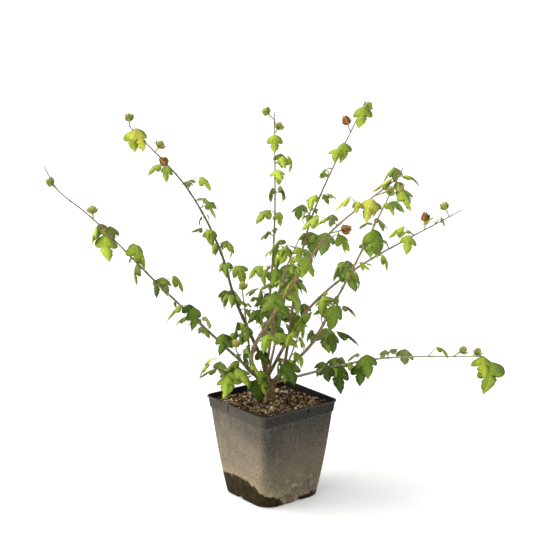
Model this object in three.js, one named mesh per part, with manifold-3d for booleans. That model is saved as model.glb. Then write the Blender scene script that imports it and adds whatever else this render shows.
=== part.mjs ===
// A potted hibiscus shrub: a square nursery pot filled with bark mulch, one short trunk that forks
// low, long arching canes and the sprays of lobed leaves and seed capsules that they carry.
// Millimetres and degrees. +Z is up and the origin is the middle of the pot's flat underside.
// A heading is the compass angle of a line seen from above (0 along +X, 90 along +Y) and a rise is
// its angle above the level.
import * as THREE from "three";
import { mergeVertices } from "three/addons/utils/BufferGeometryUtils.js";
import Module from "manifold-3d";

const wasm = await Module();
wasm.setup();

// ---- Driving dimensions ----
const GAP = 0.3; // clear space between two neighbours that touch on the real plant

const POT = {
  height: 178,
  rimSide: 170,
  footSide: 129,
  bandSide: 163, // the square's side at the lower edge of the rim band
  bandHeight: 21,
  bandProud: 1.6, // how far the band stands out from the wall under it
  lipHeight: 3.4,
  lipProud: 1.6,
  rimCorner: 20,
  footCorner: 29,
  footBevel: 3,
  wall: 1.5,
  floor: 2.5,
  turn: 38, // heading of the square's first face
};
const NOTCH = { width: 2.4, height: 14, aside: 17, depth: 4 };
const DRAIN = { width: 15, height: 5, aside: 9, reach: 9 };

const MULCH = {
  atTrunk: 170, // height of the surface at the trunk
  slope: 0.06, // fall per millimetre towards the back
  lump: 2.2,
  cells: 7,
};

const TRUNK = {
  x: -3,
  y: 6,
  sunk: 3,
  flareRadius: 11.5,
  flareHeight: 14,
  radius: 8,
  forkHeight: 34,
};

// The three arms of the fork: how far above the mulch each leaves the trunk, and where it goes.
const ARMS = {
  left: { up: 24, heading: 188, rise: 44, length: 46, radius: [6.5, 4] },
  centre: { up: 28, heading: 165, rise: 74, length: 44, radius: [7, 4] },
  right: { up: 24, heading: -4, rise: 52, length: 40, radius: [6.5, 4] },
};

// The canes, listed in the order of their seeds. Each leaves its arm at a share of the arm's length
// and runs on one smooth curve through the places in "through" to "tip", in millimetres. "stub" is
// the length that belongs to the trunk and "bough" the length at which the bare bough ends and the
// foliage starts. "spacing" is the distance from one node to the next and "bare" the length at the
// tip without any. A node bears a short spur with a few leaves, and "leaf" is the typical blade.
// A capsule is [distance from the tip, heading, rise, stalk]. A single leaf that stands out by
// itself is [distance from the tip, heading, lift, hang, roll, blade, stalk].
const CANES = [
  {
    name: "far_left",
    arm: "left",
    share: 0.75,
    through: [[-185, -25, 380], [-305, -38, 510], [-360, -45, 560]],
    tip: [-380, -50, 600],
    diameter: [5.5, 2],
    stub: 30,
    bough: 75,
    spacing: 45,
    bare: 150,
    spur: 15,
    leaf: 45,
    leaves: 4,
    capsules: [
      [50, 180, 45, 15],
      [125, 150, 85, 10],
      [175, 180, 40, 15],
    ],
    singles: [
      [160, -150, -20, -68, -60, 46, 6],
    ],
  },
  {
    name: "upper_left",
    arm: "centre",
    share: 1,
    through: [[-64, 30, 349], [-91, 50, 434], [-148, 75, 538]],
    tip: [-250, 100, 645],
    diameter: [6.5, 2],
    stub: 30,
    bough: 70,
    spacing: 40,
    bare: 110,
    spur: 20,
    leaf: 45,
    leaves: 4,
    capsules: [
      [2, 180, 85, 10],
      [65, 0, 55, 10],
      [110, 180, 45, 15],
    ],
    singles: [
      [9, -90, -10, -80, 0, 40, 5],
      [9, -20, 20, -60, 30, 44, 8],
    ],
  },
  {
    name: "short_left",
    arm: "left",
    share: 1,
    through: [[-42, -6, 300]],
    tip: [-50, -20, 375],
    diameter: [4.5, 2.5],
    stub: 12,
    spacing: 30,
    bare: 10,
    spur: 15,
    leaf: 40,
    leaves: 4,
    capsules: [[2, 90, 85, 6]],
  },
  {
    name: "centre_back",
    arm: "centre",
    share: 0.85,
    through: [[5, 110, 460]],
    tip: [5, 170, 660],
    diameter: [5.5, 2],
    stub: 30,
    bough: 75,
    spacing: 35,
    bare: 60,
    spur: 20,
    leaf: 40,
    leaves: 4,
    capsules: [
      [15, 180, 45, 15],
      [40, 0, 60, 10],
    ],
    singles: [
      [42, -90, 20, -55, 0, 34, 5],
    ],
  },
  {
    name: "upper_right",
    arm: "right",
    share: 1,
    through: [[65, 100, 460]],
    tip: [170, 200, 675],
    diameter: [6, 2],
    stub: 28,
    bough: 80,
    spacing: 45,
    bare: 90,
    spur: 20,
    leaf: 45,
    leaves: 4,
    capsules: [
      [20, 0, 35, 10],
      [65, 180, 70, 15],
    ],
    singles: [
      [12, -90, 20, -50, 0, 42, 5],
    ],
  },
  {
    name: "front",
    arm: "left",
    share: 0.55,
    through: [[-35, -18, 257], [3, -60, 345], [47, -115, 430], [95, -170, 512]],
    tip: [200, -250, 620],
    diameter: [7.5, 2.5],
    stub: 30,
    bough: 90,
    spacing: 50,
    bare: 80,
    spur: 20,
    leaf: 50,
    leaves: 4,
    capsules: [
      [10, -40, -60, 6],
      [60, 0, 20, 20],
      [172, 0, 15, 20],
    ],
    singles: [
      [10, 190, 20, -15, 20, 40, 6],
      [3, 0, 15, -15, -20, 34, 5],
      [58, -160, -40, -62, -40, 40, 7],
    ],
  },
  {
    name: "right",
    arm: "right",
    share: 0.8,
    through: [[70, -20, 282], [105, -40, 355], [135, -60, 420]],
    tip: [215, -120, 610],
    diameter: [6.5, 2],
    stub: 28,
    bough: 75,
    spacing: 40,
    bare: 5,
    spur: 20,
    leaf: 50,
    leaves: 4,
    capsules: [],
    singles: [
      [72, 0, 10, -5, -50, 34, 4],
      [125, -60, 10, -55, 0, 46, 6],
    ],
  },
  {
    name: "right_back",
    arm: "centre",
    share: 0.35,
    through: [[27, 15, 275], [63, 40, 325], [140, 75, 386]],
    tip: [340, 120, 490],
    diameter: [6.5, 2],
    stub: 34,
    bough: 75,
    spacing: 40,
    bare: 30,
    spur: 20,
    leaf: 45,
    leaves: 4,
    capsules: [
      [25, 180, 65, 15],
      [75, 90, 85, 15],
    ],
  },
  {
    name: "low_right",
    arm: "right",
    share: 0.3,
    through: [[180, 40, 235]],
    tip: [380, 60, 235],
    diameter: [5.5, 2],
    stub: 24,
    bough: 75,
    spacing: 40,
    bare: 80,
    spur: 12,
    leaf: 50,
    leaves: 4,
    capsules: [
      [55, 0, 35, 15],
      [20, 0, 45, 6],
    ],
    singles: [
      [3, -90, 20, -50, 0, 42, 6],
      [0, -30, -30, -70, 60, 60, 17],
      [230, -60, -10, -65, 20, 42, 6],
      [255, -130, 0, -50, -30, 50, 6],
    ],
  },
  {
    name: "inner_front",
    arm: "centre",
    share: 0.6,
    through: [[15, -80, 400]],
    tip: [45, -200, 510],
    diameter: [5.5, 2],
    stub: 30,
    bough: 75,
    spacing: 35,
    bare: 5,
    spur: 20,
    leaf: 45,
    leaves: 4,
    capsules: [],
  },
  {
    name: "inner_back",
    arm: "centre",
    share: 0.35,
    through: [[15, 140, 285]],
    tip: [25, 260, 360],
    diameter: [5.5, 2],
    stub: 30,
    bough: 75,
    spacing: 35,
    bare: 5,
    spur: 20,
    leaf: 45,
    leaves: 4,
    capsules: [],
  },
  {
    name: "low_middle",
    arm: "right",
    share: 0.35,
    through: [[28, -30, 250]],
    tip: [50, -60, 320],
    diameter: [4.5, 2.5],
    stub: 14,
    spacing: 25,
    bare: 5,
    spur: 15,
    leaf: 45,
    leaves: 4,
    capsules: [],
    singles: [
      [72, -90, 10, -62, 0, 44, 8],
    ],
  },
  {
    name: "low_front",
    arm: "left",
    share: 0.4,
    through: [[-42, -50, 245]],
    tip: [-60, -100, 295],
    diameter: [4.5, 2.5],
    stub: 14,
    spacing: 30,
    bare: 15,
    spur: 15,
    leaf: 40,
    leaves: 4,
    capsules: [[2, -110, 85, 6]],
    singles: [
      [120, -70, -10, -72, 0, 46, 6],
    ],
  },
  {
    name: "low_left",
    arm: "left",
    share: 0.2,
    through: [[-52, -30, 220]],
    tip: [-100, -70, 255],
    diameter: [4, 2],
    stub: 14,
    spacing: 30,
    bare: 0,
    spur: 15,
    leaf: 45,
    leaves: 5,
    capsules: [],
    singles: [
      [45, -90, 50, -60, 0, 46, 10],
      [15, 180, 30, -15, 30, 36, 5],
    ],
  },
];

const FIRST_NODE = 15; // distance of a cane's first node beyond its bare part
const NODE_STRAY = 0.2; // how far a node strays from its even place, as a share of the spacing
const SEGMENT = 36; // length of one facet along a limb
const FLARE_SEGMENT = 6; // the same on the trunk's flare
const TRUNK_SIDES = 10;
const ARM_SIDES = 8;
const BOUGH_SIDES = 6;
const STEM_SIDES = 4;
const SPUR_SIDES = 3;
const SPUR_DIAMETER = 1.8;

// One side of a leaf's outline, as [share of the blade along it, share of the blade across it]:
// three lobes on a large leaf, a plain lozenge on a small one.
const LOBED_OUTLINE = [
  [0, 0.02],
  [0.42, 0.4],
  [0.52, 0.19],
  [1, 0],
];
const PLAIN_OUTLINE = [
  [0, 0.02],
  [0.44, 0.33],
  [1, 0],
];
const LOBED_LEAF = 58; // the shortest blade that shows its lobes
const SMALLEST_LEAF = 41; // a shorter blade is left out, unless it is its node's first
const LEAF_GROWTH = 1.15; // the solids' fewer leaves are larger than life by this
const LEAF = { thick: 0.9, curl: 35, fold: 0.25, stalkWidth: 1.3 };
const CAPSULE = { length: 17, diameter: 14, sides: 5, stalk: 1.6 };

const COLOURS = {
  pot: 0x5b5852,
  mulch: 0x5a4030,
  bark: 0x857460,
  foliage: 0x6f8f3a,
};

// ---- Directions, routes and the seeded rule ----
const UP = new THREE.Vector3(0, 0, 1);

function aim(heading, rise) {
  const h = THREE.MathUtils.degToRad(heading);
  const r = THREE.MathUtils.degToRad(rise);
  return new THREE.Vector3(Math.cos(h) * Math.cos(r), Math.sin(h) * Math.cos(r), Math.sin(r));
}

// The value at a share of the way through a list of evenly spaced values.
function along(values, share) {
  const place = THREE.MathUtils.clamp(share, 0, 1) * (values.length - 1);
  const low = Math.min(Math.floor(place), values.length - 2);
  return values[low] + (values[low + 1] - values[low]) * (place - low);
}

// A seeded stream of numbers: the same seed always gives the same plant.
function stream(seed) {
  let state = Math.imul(seed, 2654435761) >>> 0;
  const draw = (low = 0, high = 1) => {
    state = (Math.imul(state, 1664525) + 1013904223) >>> 0;
    return low + ((high - low) * state) / 4294967296;
  };
  draw();
  draw();
  return draw;
}

function mulchHeight(x, y) {
  const fall = MULCH.slope * (y - TRUNK.y);
  const lumps = Math.sin(0.21 * x + 0.7) * Math.cos(0.17 * y) + Math.sin(0.11 * (x + y) + 2);
  return MULCH.atTrunk - fall + (MULCH.lump / 2) * lumps;
}

const TRUNK_FOOT = new THREE.Vector3(TRUNK.x, TRUNK.y, MULCH.atTrunk);

function armPoint(name, share) {
  const arm = ARMS[name];
  const foot = TRUNK_FOOT.clone().addScaledVector(UP, arm.up);
  return foot.addScaledVector(aim(arm.heading, arm.rise), arm.length * share);
}

// A route gives the point, the heading, the rise and the radius at a distance from its foot.
function caneRoute(cane) {
  const foot = armPoint(cane.arm, cane.share);
  const later = [...cane.through, cane.tip].map((place) => new THREE.Vector3(...place));
  const curve = new THREE.CatmullRomCurve3([foot, ...later]);
  const length = curve.getLength();
  const share = (at) => THREE.MathUtils.clamp(at / length, 0, 1);
  const way = (at) => curve.getTangentAt(share(at));
  return {
    length,
    point: (at) => curve.getPointAt(share(at)),
    heading: (at) => THREE.MathUtils.radToDeg(Math.atan2(way(at).y, way(at).x)),
    rise: (at) => THREE.MathUtils.radToDeg(Math.asin(way(at).z)),
    radius: (at) => along(cane.diameter, share(at)) / 2,
  };
}

// Where a cane stops being bare wood.
function bareEnd(cane) {
  return cane.bough ?? cane.stub;
}

function nodeCount(cane, route) {
  return 1 + Math.floor((route.length - cane.bare - bareEnd(cane) - FIRST_NODE) / cane.spacing);
}

function straightRoute(foot, heading, rise, length, radii) {
  return {
    length,
    point: (at) => foot.clone().addScaledVector(aim(heading, rise), at),
    heading: () => heading,
    rise: () => rise,
    radius: (at) => along(radii, at / length),
  };
}

// ---- Solids ----
function solidOf(geometry) {
  geometry.deleteAttribute("normal");
  geometry.deleteAttribute("uv");
  const merged = mergeVertices(geometry, 1e-4);
  return new wasm.Manifold(
    new wasm.Mesh({
      numProp: 3,
      vertProperties: merged.attributes.position.array,
      triVerts: new Uint32Array(merged.index.array),
    }),
  );
}

function meshOf(solid, name, colour, roughness) {
  const { vertProperties, triVerts } = solid.getMesh();
  const geometry = new THREE.BufferGeometry();
  geometry.setAttribute("position", new THREE.BufferAttribute(vertProperties, 3));
  geometry.setIndex(new THREE.BufferAttribute(triVerts, 1));
  geometry.computeVertexNormals();
  const material = new THREE.MeshStandardMaterial({ color: colour, roughness, metalness: 0 });
  const mesh = new THREE.Mesh(geometry, material);
  mesh.name = name;
  return mesh;
}

function moveVertices(geometry, move) {
  const position = geometry.attributes.position;
  const vertex = new THREE.Vector3();
  for (let i = 0; i < position.count; i++) {
    vertex.fromBufferAttribute(position, i);
    const moved = move(vertex);
    position.setXYZ(i, moved.x, moved.y, moved.z);
  }
  return geometry;
}

// A tapering limb along a route from one distance to another, with flat ends square to the route.
function limb(route, from, to, sides, radiusAt = route.radius, segment = SEGMENT) {
  const segments = Math.max(1, Math.round((to - from) / segment));
  const cylinder = new THREE.CylinderGeometry(1, 1, 1, sides, segments);
  moveVertices(cylinder, (v) => {
    const at = from + (to - from) * (v.y + 0.5);
    const heading = route.heading(at);
    const across = aim(heading + 90, 0);
    const above = aim(heading, route.rise(at) + 90);
    const radius = radiusAt(at);
    return route
      .point(at)
      .addScaledVector(across, v.z * radius)
      .addScaledVector(above, v.x * radius);
  });
  return solidOf(cylinder);
}

// A leaf: a narrow stalk and a lobed blade in one thin plate. The stalk leaves the root at the
// leaf's lift, and the blade hangs from its end, curls along its length and folds down at its sides.
function leaf(spec, spare = 0, withStalk = true) {
  const halfStalk = LEAF.stalkWidth / 2 / spec.blade;
  const lobed = spec.single || spec.blade >= LOBED_LEAF;
  const blade = lobed ? LOBED_OUTLINE : PLAIN_OUTLINE;
  const side = withStalk ? [[-spec.stalk / spec.blade, halfStalk], ...blade] : blade;
  const tip = side.length - 1;
  const outline = new THREE.Shape([
    ...side.map(([reach, half]) => new THREE.Vector2(reach, -half)),
    ...side.slice(0, tip).reverse().map(([reach, half]) => new THREE.Vector2(reach, half)),
  ]);
  const plate = new THREE.ExtrudeGeometry(outline, { depth: 1, bevelEnabled: false });
  const stalkWay = aim(spec.heading, spec.lift);
  const joint = spec.root.clone().addScaledVector(stalkWay, spec.stalk);
  const level = aim(spec.heading + 90, 0);
  const face = aim(spec.heading, spec.hang).cross(level);
  const roll = THREE.MathUtils.degToRad(spec.roll);
  const across = level.clone().multiplyScalar(Math.cos(roll)).addScaledVector(face, Math.sin(roll));
  const normal = aim(spec.heading, spec.hang).cross(across);
  moveVertices(plate, (v) => {
    const side = v.y * (spec.blade + 2 * spare);
    const depth = (v.z - 0.5) * (LEAF.thick + 2 * spare);
    if (v.x < 0) {
      return spec.root
        .clone()
        .addScaledVector(level, side)
        .addScaledVector(stalkWay.clone().cross(level), depth);
    }
    const way = aim(spec.heading, spec.hang - (LEAF.curl * v.x) / 2);
    return joint
      .clone()
      .addScaledVector(way, v.x * (spec.blade + spare))
      .addScaledVector(across, side)
      .addScaledVector(normal, depth - LEAF.fold * Math.abs(side));
  });
  return solidOf(plate);
}

// A seed capsule: a pointed egg on a slim stalk, whose foot is sunk in the cane.
function capsule(root, heading, rise, stalk, spare = 0) {
  const stalkRoute = straightRoute(root, heading, rise, stalk, [CAPSULE.stalk / 2, CAPSULE.stalk / 2]);
  const half = CAPSULE.diameter / 2 + spare;
  const profile = [
    new THREE.Vector2(0, -spare),
    new THREE.Vector2(half * 0.7, CAPSULE.length * 0.12),
    new THREE.Vector2(half, CAPSULE.length * 0.42),
    new THREE.Vector2(half * 0.62, CAPSULE.length * 0.78),
    new THREE.Vector2(0, CAPSULE.length + spare),
  ];
  const egg = new THREE.LatheGeometry(profile, CAPSULE.sides);
  const across = aim(heading + 90, 0);
  const above = aim(heading, rise + 90);
  const foot = stalkRoute.point(stalk - 1);
  moveVertices(egg, (v) =>
    foot
      .clone()
      .addScaledVector(aim(heading, rise), v.y)
      .addScaledVector(across, v.z)
      .addScaledVector(above, v.x),
  );
  return solidOf(egg).add(limb(stalkRoute, 0, stalk, SPUR_SIDES));
}

// A square with rounded corners, drawn once with a half side of 1, and lofted through levels that
// each give a height, a half side and a corner radius.
const CORNER_STEPS = 3;
const TEMPLATE_CORNER = 0.5;

function squareLoft(levels) {
  const flat = 1 - TEMPLATE_CORNER;
  const outline = new THREE.Shape();
  for (let corner = 0; corner < 4; corner++) {
    const facing = (corner + 0.5) * (Math.PI / 2);
    const x = Math.sign(Math.cos(facing)) * flat;
    const y = Math.sign(Math.sin(facing)) * flat;
    outline.absarc(x, y, TEMPLATE_CORNER, facing - Math.PI / 4, facing + Math.PI / 4, false);
  }
  const block = new THREE.ExtrudeGeometry(outline, {
    depth: levels.length - 1,
    steps: levels.length - 1,
    curveSegments: CORNER_STEPS,
    bevelEnabled: false,
  });
  moveVertices(block, (v) => {
    const { z, half, corner } = levels[Math.round(v.z)];
    const place = (value) => {
      const centre = Math.sign(value) * flat;
      return Math.sign(value) * (half - corner) + ((value - centre) / TEMPLATE_CORNER) * corner;
    };
    return new THREE.Vector3(place(v.x), place(v.y), z);
  });
  return solidOf(block);
}

const bandFoot = POT.height - POT.bandHeight;
const wallTopHalf = POT.bandSide / 2 - POT.bandProud;

function potCorner(z) {
  return POT.footCorner + (POT.rimCorner - POT.footCorner) * (z / POT.height);
}

// Half the side of the outer wall under the band, at a height.
function wallHalf(z) {
  return POT.footSide / 2 + (wallTopHalf - POT.footSide / 2) * (z / bandFoot);
}

// Half the side of the space inside the pot, at a height.
function hollowHalf(z) {
  const inner = wallHalf(Math.min(z, bandFoot)) - POT.wall;
  const widening = POT.rimSide / 2 - POT.lipProud - POT.wall - inner;
  return inner + widening * THREE.MathUtils.clamp((z - bandFoot) / POT.bandHeight, 0, 1);
}

function level(z, half, cornerTrim = 0) {
  return { z, half, corner: potCorner(z) - cornerTrim };
}

function makePot() {
  const rimHalf = POT.rimSide / 2;
  const outside = squareLoft([
    level(0, POT.footSide / 2 - POT.footBevel),
    level(POT.footBevel, wallHalf(POT.footBevel)),
    level(bandFoot, wallTopHalf),
    level(bandFoot + 1, POT.bandSide / 2),
    level(POT.height - POT.lipHeight, rimHalf - POT.lipProud),
    level(POT.height - POT.lipHeight + 0.8, rimHalf),
    level(POT.height - 0.8, rimHalf),
    level(POT.height, rimHalf - 1),
  ]);
  const inside = squareLoft([
    level(POT.floor, hollowHalf(POT.floor), POT.wall),
    level(bandFoot, hollowHalf(bandFoot), POT.wall),
    level(POT.height, hollowHalf(POT.height), POT.wall),
    level(POT.height + 1, hollowHalf(POT.height), POT.wall),
  ]);
  let pot = outside.subtract(inside);
  for (let face = 0; face < 4; face++) {
    // Each second face is the mirror of its neighbour, so the cuts lie nearer one pair of corners.
    const side = face % 2 === 0 ? -1 : 1;
    const notchFoot = POT.height - POT.lipHeight - NOTCH.height;
    const notch = new THREE.BoxGeometry(NOTCH.depth, NOTCH.width, NOTCH.height);
    notch.translate(POT.bandSide / 2 + POT.bandProud, side * NOTCH.aside, notchFoot + NOTCH.height / 2);
    const drain = new THREE.BoxGeometry(DRAIN.reach, DRAIN.width, 2 * DRAIN.height);
    drain.translate(POT.footSide / 2, side * DRAIN.aside, 0);
    for (const cut of [notch, drain]) {
      cut.rotateZ((face * Math.PI) / 2);
      pot = pot.subtract(solidOf(cut));
    }
  }
  return pot.rotate([0, 0, POT.turn]);
}

function makeMulch(trunkFoot) {
  const filling = squareLoft([
    level(POT.floor + GAP, hollowHalf(POT.floor) - GAP, POT.wall),
    level(bandFoot, hollowHalf(bandFoot) - GAP, POT.wall),
    level(POT.height, hollowHalf(POT.height) - GAP, POT.wall),
  ]).rotate([0, 0, POT.turn]);
  const ground = new THREE.BoxGeometry(
    1.5 * POT.rimSide,
    1.5 * POT.rimSide,
    MULCH.atTrunk,
    1.5 * MULCH.cells,
    1.5 * MULCH.cells,
    1,
  );
  moveVertices(ground, (v) => new THREE.Vector3(v.x, v.y, v.z > 0 ? mulchHeight(v.x, v.y) : 0));
  return filling.intersect(solidOf(ground)).subtract(trunkFoot);
}

// The trunk flares at its foot and narrows to the top of its fork.
function trunkRadius(at, spare = 0) {
  const flare = THREE.MathUtils.clamp(1 - at / TRUNK.flareHeight, 0, 1);
  return TRUNK.radius + (TRUNK.flareRadius - TRUNK.radius) * flare ** 2 + spare;
}

// The trunk's foot, from a depth in the mulch up to its fork.
function trunkFoot(sunk, spare = 0) {
  const route = {
    point: (at) => TRUNK_FOOT.clone().addScaledVector(UP, at),
    heading: () => 0,
    rise: () => 90,
  };
  return limb(route, -sunk, TRUNK.forkHeight, TRUNK_SIDES, (at) => trunkRadius(at, spare), FLARE_SEGMENT);
}

function makeTrunk() {
  const foot = trunkFoot(TRUNK.sunk);
  const arms = Object.entries(ARMS).map(([name, arm]) => {
    const route = straightRoute(armPoint(name, 0), arm.heading, arm.rise, arm.length, arm.radius);
    return limb(route, 0, arm.length, ARM_SIDES);
  });
  const stubs = CANES.map((cane) => limb(caneRoute(cane), 0, cane.stub, BOUGH_SIDES));
  return wasm.Manifold.union([foot, ...arms, ...stubs]);
}

// ---- Foliage ----
const LEAF_FAN = 58; // angle between neighbouring leaves on one spur
const SPUR_LEAFY = 0.8; // share of a spur, from its tip, that bears leaves
const NODE_TURN = 137.5; // angle between one node and the next

// One node of a cane: its spur and the leaves fanned out round the spur's end.
function growNode(cane, route, node, draw) {
  const even = bareEnd(cane) + FIRST_NODE + node * cane.spacing;
  const at = Math.min(even + cane.spacing * draw(-NODE_STRAY, NODE_STRAY), route.length);
  const share = at / route.length;
  const root = route.point(at);
  const turn = NODE_TURN * node + draw(-50, 50);
  const rise = draw(10, 60);
  const reach = cane.spur * draw(0.4, 1.6) * (1 - 0.5 * share);
  const tip = root.clone().addScaledVector(aim(turn, rise), reach);
  const count = Math.max(1, Math.round(cane.leaves * draw(0.75, 1.25) * (1 - 0.45 * share)));
  const leaves = [];
  for (let k = 0; k < count; k++) {
    const heading = turn + (k - (count - 1) / 2) * LEAF_FAN + draw(-30, 30);
    const lift = draw(5, 50);
    const hang = draw(-80, -10);
    const roll = draw(-35, 35);
    const blade = cane.leaf * draw(0.6, 1.3) * (1 - 0.25 * share);
    const stalk = blade * draw(0.25, 0.5);
    draw(); // the leaf's tone, which the solid doesn't show
    const leafRoot = tip.clone().lerp(root, (SPUR_LEAFY * k) / count);
    leaves.push({ root: leafRoot, heading, lift, hang, roll, blade, stalk });
  }
  const radii = [SPUR_DIAMETER * 0.6, SPUR_DIAMETER * 0.45];
  const spur = straightRoute(root, turn, rise, reach + 1, radii);
  return { spur, leaves };
}

function touches(solid, others) {
  return others.some((other) => !other.intersect(solid).isEmpty());
}

// The largest body of a solid: it drops loose scraps and fills sealed hollows.
function mainBody(solid) {
  const bodies = solid.decompose();
  return bodies.reduce((best, body) => (body.volume() > best.volume() ? body : best));
}

// The leafy part of a cane, from its bough's end or the trunk to its tip.
function makeStem(cane) {
  const route = caneRoute(cane);
  return limb(route, bareEnd(cane) + GAP, route.length, STEM_SIDES);
}

// A spray of foliage: the cane's upper stem with its spurs, leaves and capsules. Whatever would
// touch a neighbour is skipped.
function makeFoliage(cane, seed, neighbours) {
  const route = caneRoute(cane);
  const draw = stream(seed);
  const stem = makeStem(cane);
  const pieces = [stem];
  const blades = [stem];
  const keep = (solid, wide) => {
    const clear = !touches(wide, neighbours);
    if (clear) {
      pieces.push(solid);
    }
    return clear;
  };
  for (const [back, heading, lift, hang, roll, blade, stalk] of cane.singles ?? []) {
    const root = route.point(route.length - back);
    const spec = { root, heading, lift, hang, roll, blade, stalk, single: true };
    if (keep(leaf(spec), leaf(spec, GAP))) {
      blades.push(leaf(spec, GAP, false));
    }
  }
  for (let node = 0; node < nodeCount(cane, route); node++) {
    const { spur, leaves } = growNode(cane, route, node, draw);
    const thick = (distance) => spur.radius(distance) + GAP;
    if (keep(limb(spur, 0, spur.length, SPUR_SIDES), limb(spur, 0, spur.length, SPUR_SIDES, thick))) {
      leaves
        .filter((spec, k) => k === 0 || spec.blade >= SMALLEST_LEAF)
        .map((spec) => ({ ...spec, blade: spec.blade * LEAF_GROWTH }))
        .filter((spec) => !touches(leaf(spec, GAP, false), blades))
        .filter((spec) => keep(leaf(spec), leaf(spec, GAP)))
        .forEach((spec) => blades.push(leaf(spec, GAP, false)));
    }
  }
  for (const [back, heading, rise, stalk] of cane.capsules) {
    const root = route.point(route.length - back);
    keep(capsule(root, heading, rise, stalk), capsule(root, heading, rise, stalk, GAP));
  }
  return mainBody(wasm.Manifold.union(pieces));
}

// ---- Assembly ----
const shrub = new THREE.Group();
const wood = [];
const masses = [];

const place = (name, solid, colour, roughness) => shrub.add(meshOf(solid, name, colour, roughness));

const pot = makePot();
const mulch = makeMulch(trunkFoot(TRUNK.sunk + GAP, GAP));
place("pot", pot, COLOURS.pot, 0.7);
place("mulch", mulch, COLOURS.mulch, 0.95);

const trunk = makeTrunk();
wood.push(pot, mulch, trunk);
place("trunk", trunk, COLOURS.bark, 0.85);

for (const cane of CANES.filter((each) => each.bough)) {
  const bough = limb(caneRoute(cane), cane.stub + GAP, cane.bough, BOUGH_SIDES);
  wood.push(bough);
  place("bough_" + cane.name, bough, COLOURS.bark, 0.85);
}

CANES.forEach((cane, index) => {
  const stems = CANES.filter((other) => other !== cane).map(makeStem);
  const mass = makeFoliage(cane, index + 1, [...wood, ...stems, ...masses]);
  masses.push(mass);
  place("foliage_" + cane.name, mass, COLOURS.foliage, 0.6);
});

export default shrub;
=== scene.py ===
"""The looks of a potted hibiscus shrub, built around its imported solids.

The solids give the pot, the mulch, the trunk, the bare boughs and a coarse spray of foliage on each
cane. This add-on puts the finished surfaces in their place: a dusty moulded pot, loose bark mulch,
ridged bark, fine twigs, lobed and toothed leaves and ribbed seed capsules. Canes, twigs, leaves and
capsules grow by the same seeded rule as the solids, from the same named sizes. Lengths of the rule
are in millimetres and angles in degrees; a heading is measured from above (0 along +X, 90 along +Y)
and a rise from the level.
"""

import math
from collections import namedtuple

import bpy
import numpy as np
from bpy.props import FloatProperty, FloatVectorProperty, IntProperty, PointerProperty
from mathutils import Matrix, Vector


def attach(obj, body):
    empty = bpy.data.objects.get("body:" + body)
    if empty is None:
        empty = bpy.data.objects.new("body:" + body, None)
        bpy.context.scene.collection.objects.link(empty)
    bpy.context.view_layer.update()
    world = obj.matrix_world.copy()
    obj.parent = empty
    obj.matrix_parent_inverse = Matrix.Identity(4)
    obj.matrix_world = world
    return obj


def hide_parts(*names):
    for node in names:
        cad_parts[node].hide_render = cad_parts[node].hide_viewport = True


bl_info = {
    "name": "Potted hibiscus shrub",
    "version": (1, 0, 0),
    "blender": (4, 5, 0),
    "location": "3D View > Sidebar > Shrub",
    "description": "Builds the finished surfaces of a potted hibiscus shrub",
    "category": "Add Mesh",
}

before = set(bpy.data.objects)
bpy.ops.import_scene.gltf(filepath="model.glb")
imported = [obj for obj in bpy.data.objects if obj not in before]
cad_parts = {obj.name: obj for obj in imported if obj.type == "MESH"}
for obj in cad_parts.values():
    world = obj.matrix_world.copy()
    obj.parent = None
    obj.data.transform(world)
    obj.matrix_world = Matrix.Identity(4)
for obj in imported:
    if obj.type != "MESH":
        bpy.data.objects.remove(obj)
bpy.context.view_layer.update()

MM = 0.001  # metres in a millimetre
GAP = 0.3  # clear space between neighbours, as in the solids
UP = np.array((0, 0, 1.0))

# ---- Sizes of the pot and the plant, as in the solids where no note says otherwise ----
POT_HEIGHT = 178
POT_TURN = 38  # heading of the square pot's first face
RIM_HALF = 85
FOOT_HALF = 64.5
BAND_HALF = 81.5  # half side at the lower edge of the rim band
BAND_FOOT = 157  # height of the lower edge of the rim band
BAND_ROUND = 1  # height of the band's lower edge
WALL_TOP_HALF = 79.9  # half side of the wall where it meets the band
LIP_HEIGHT = 3.4
LIP_PROUD = 1.6
RIM_CORNER = 13  # crisper than the solid's, and so is the corner down to just above the foot
FOOT_CORNER = 29
FLAT_SHARE = 0.84  # share of a face's columns on its straight part
FOOT_BEVEL = 3
WALL = 1.5
POT_DISC = 154  # height of the skin's disc under the mulch, which the solid lacks
NOTCH_WIDTH = 3.6  # wider than the solid's, for its soft edges
NOTCH_HEIGHT = 14
NOTCH_ASIDE = 17
NOTCH_DEPTH = 1.2  # even, where the solid's deepens upwards
DRAIN_WIDTH = 15
DRAIN_HEIGHT = 5
DRAIN_ASIDE = 9
DRAIN_DEPTH = 5  # pushed in, where the solid's goes through the wall
INSIDE_SHADE = 0.8  # how strongly the pot's inside is painted dark as shade, from 0 to 1

MULCH_AT_TRUNK = 170
MULCH_SLOPE = 0.06
MULCH_LUMP = 2.2

TRUNK_FOOT = np.array((-3.0, 6.0, MULCH_AT_TRUNK))
TRUNK_SUNK = 3
TRUNK_FLARE_RADIUS = 11.5
TRUNK_FLARE_HEIGHT = 14
TRUNK_RADIUS = 8
TRUNK_FORK_HEIGHT = 34

ARMS = {
    "left": {"up": 24, "heading": 188, "rise": 44, "length": 46, "radius": (6.5, 4)},
    "centre": {"up": 28, "heading": 165, "rise": 74, "length": 44, "radius": (7, 4)},
    "right": {"up": 24, "heading": -4, "rise": 52, "length": 40, "radius": (6.5, 4)},
}

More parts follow.
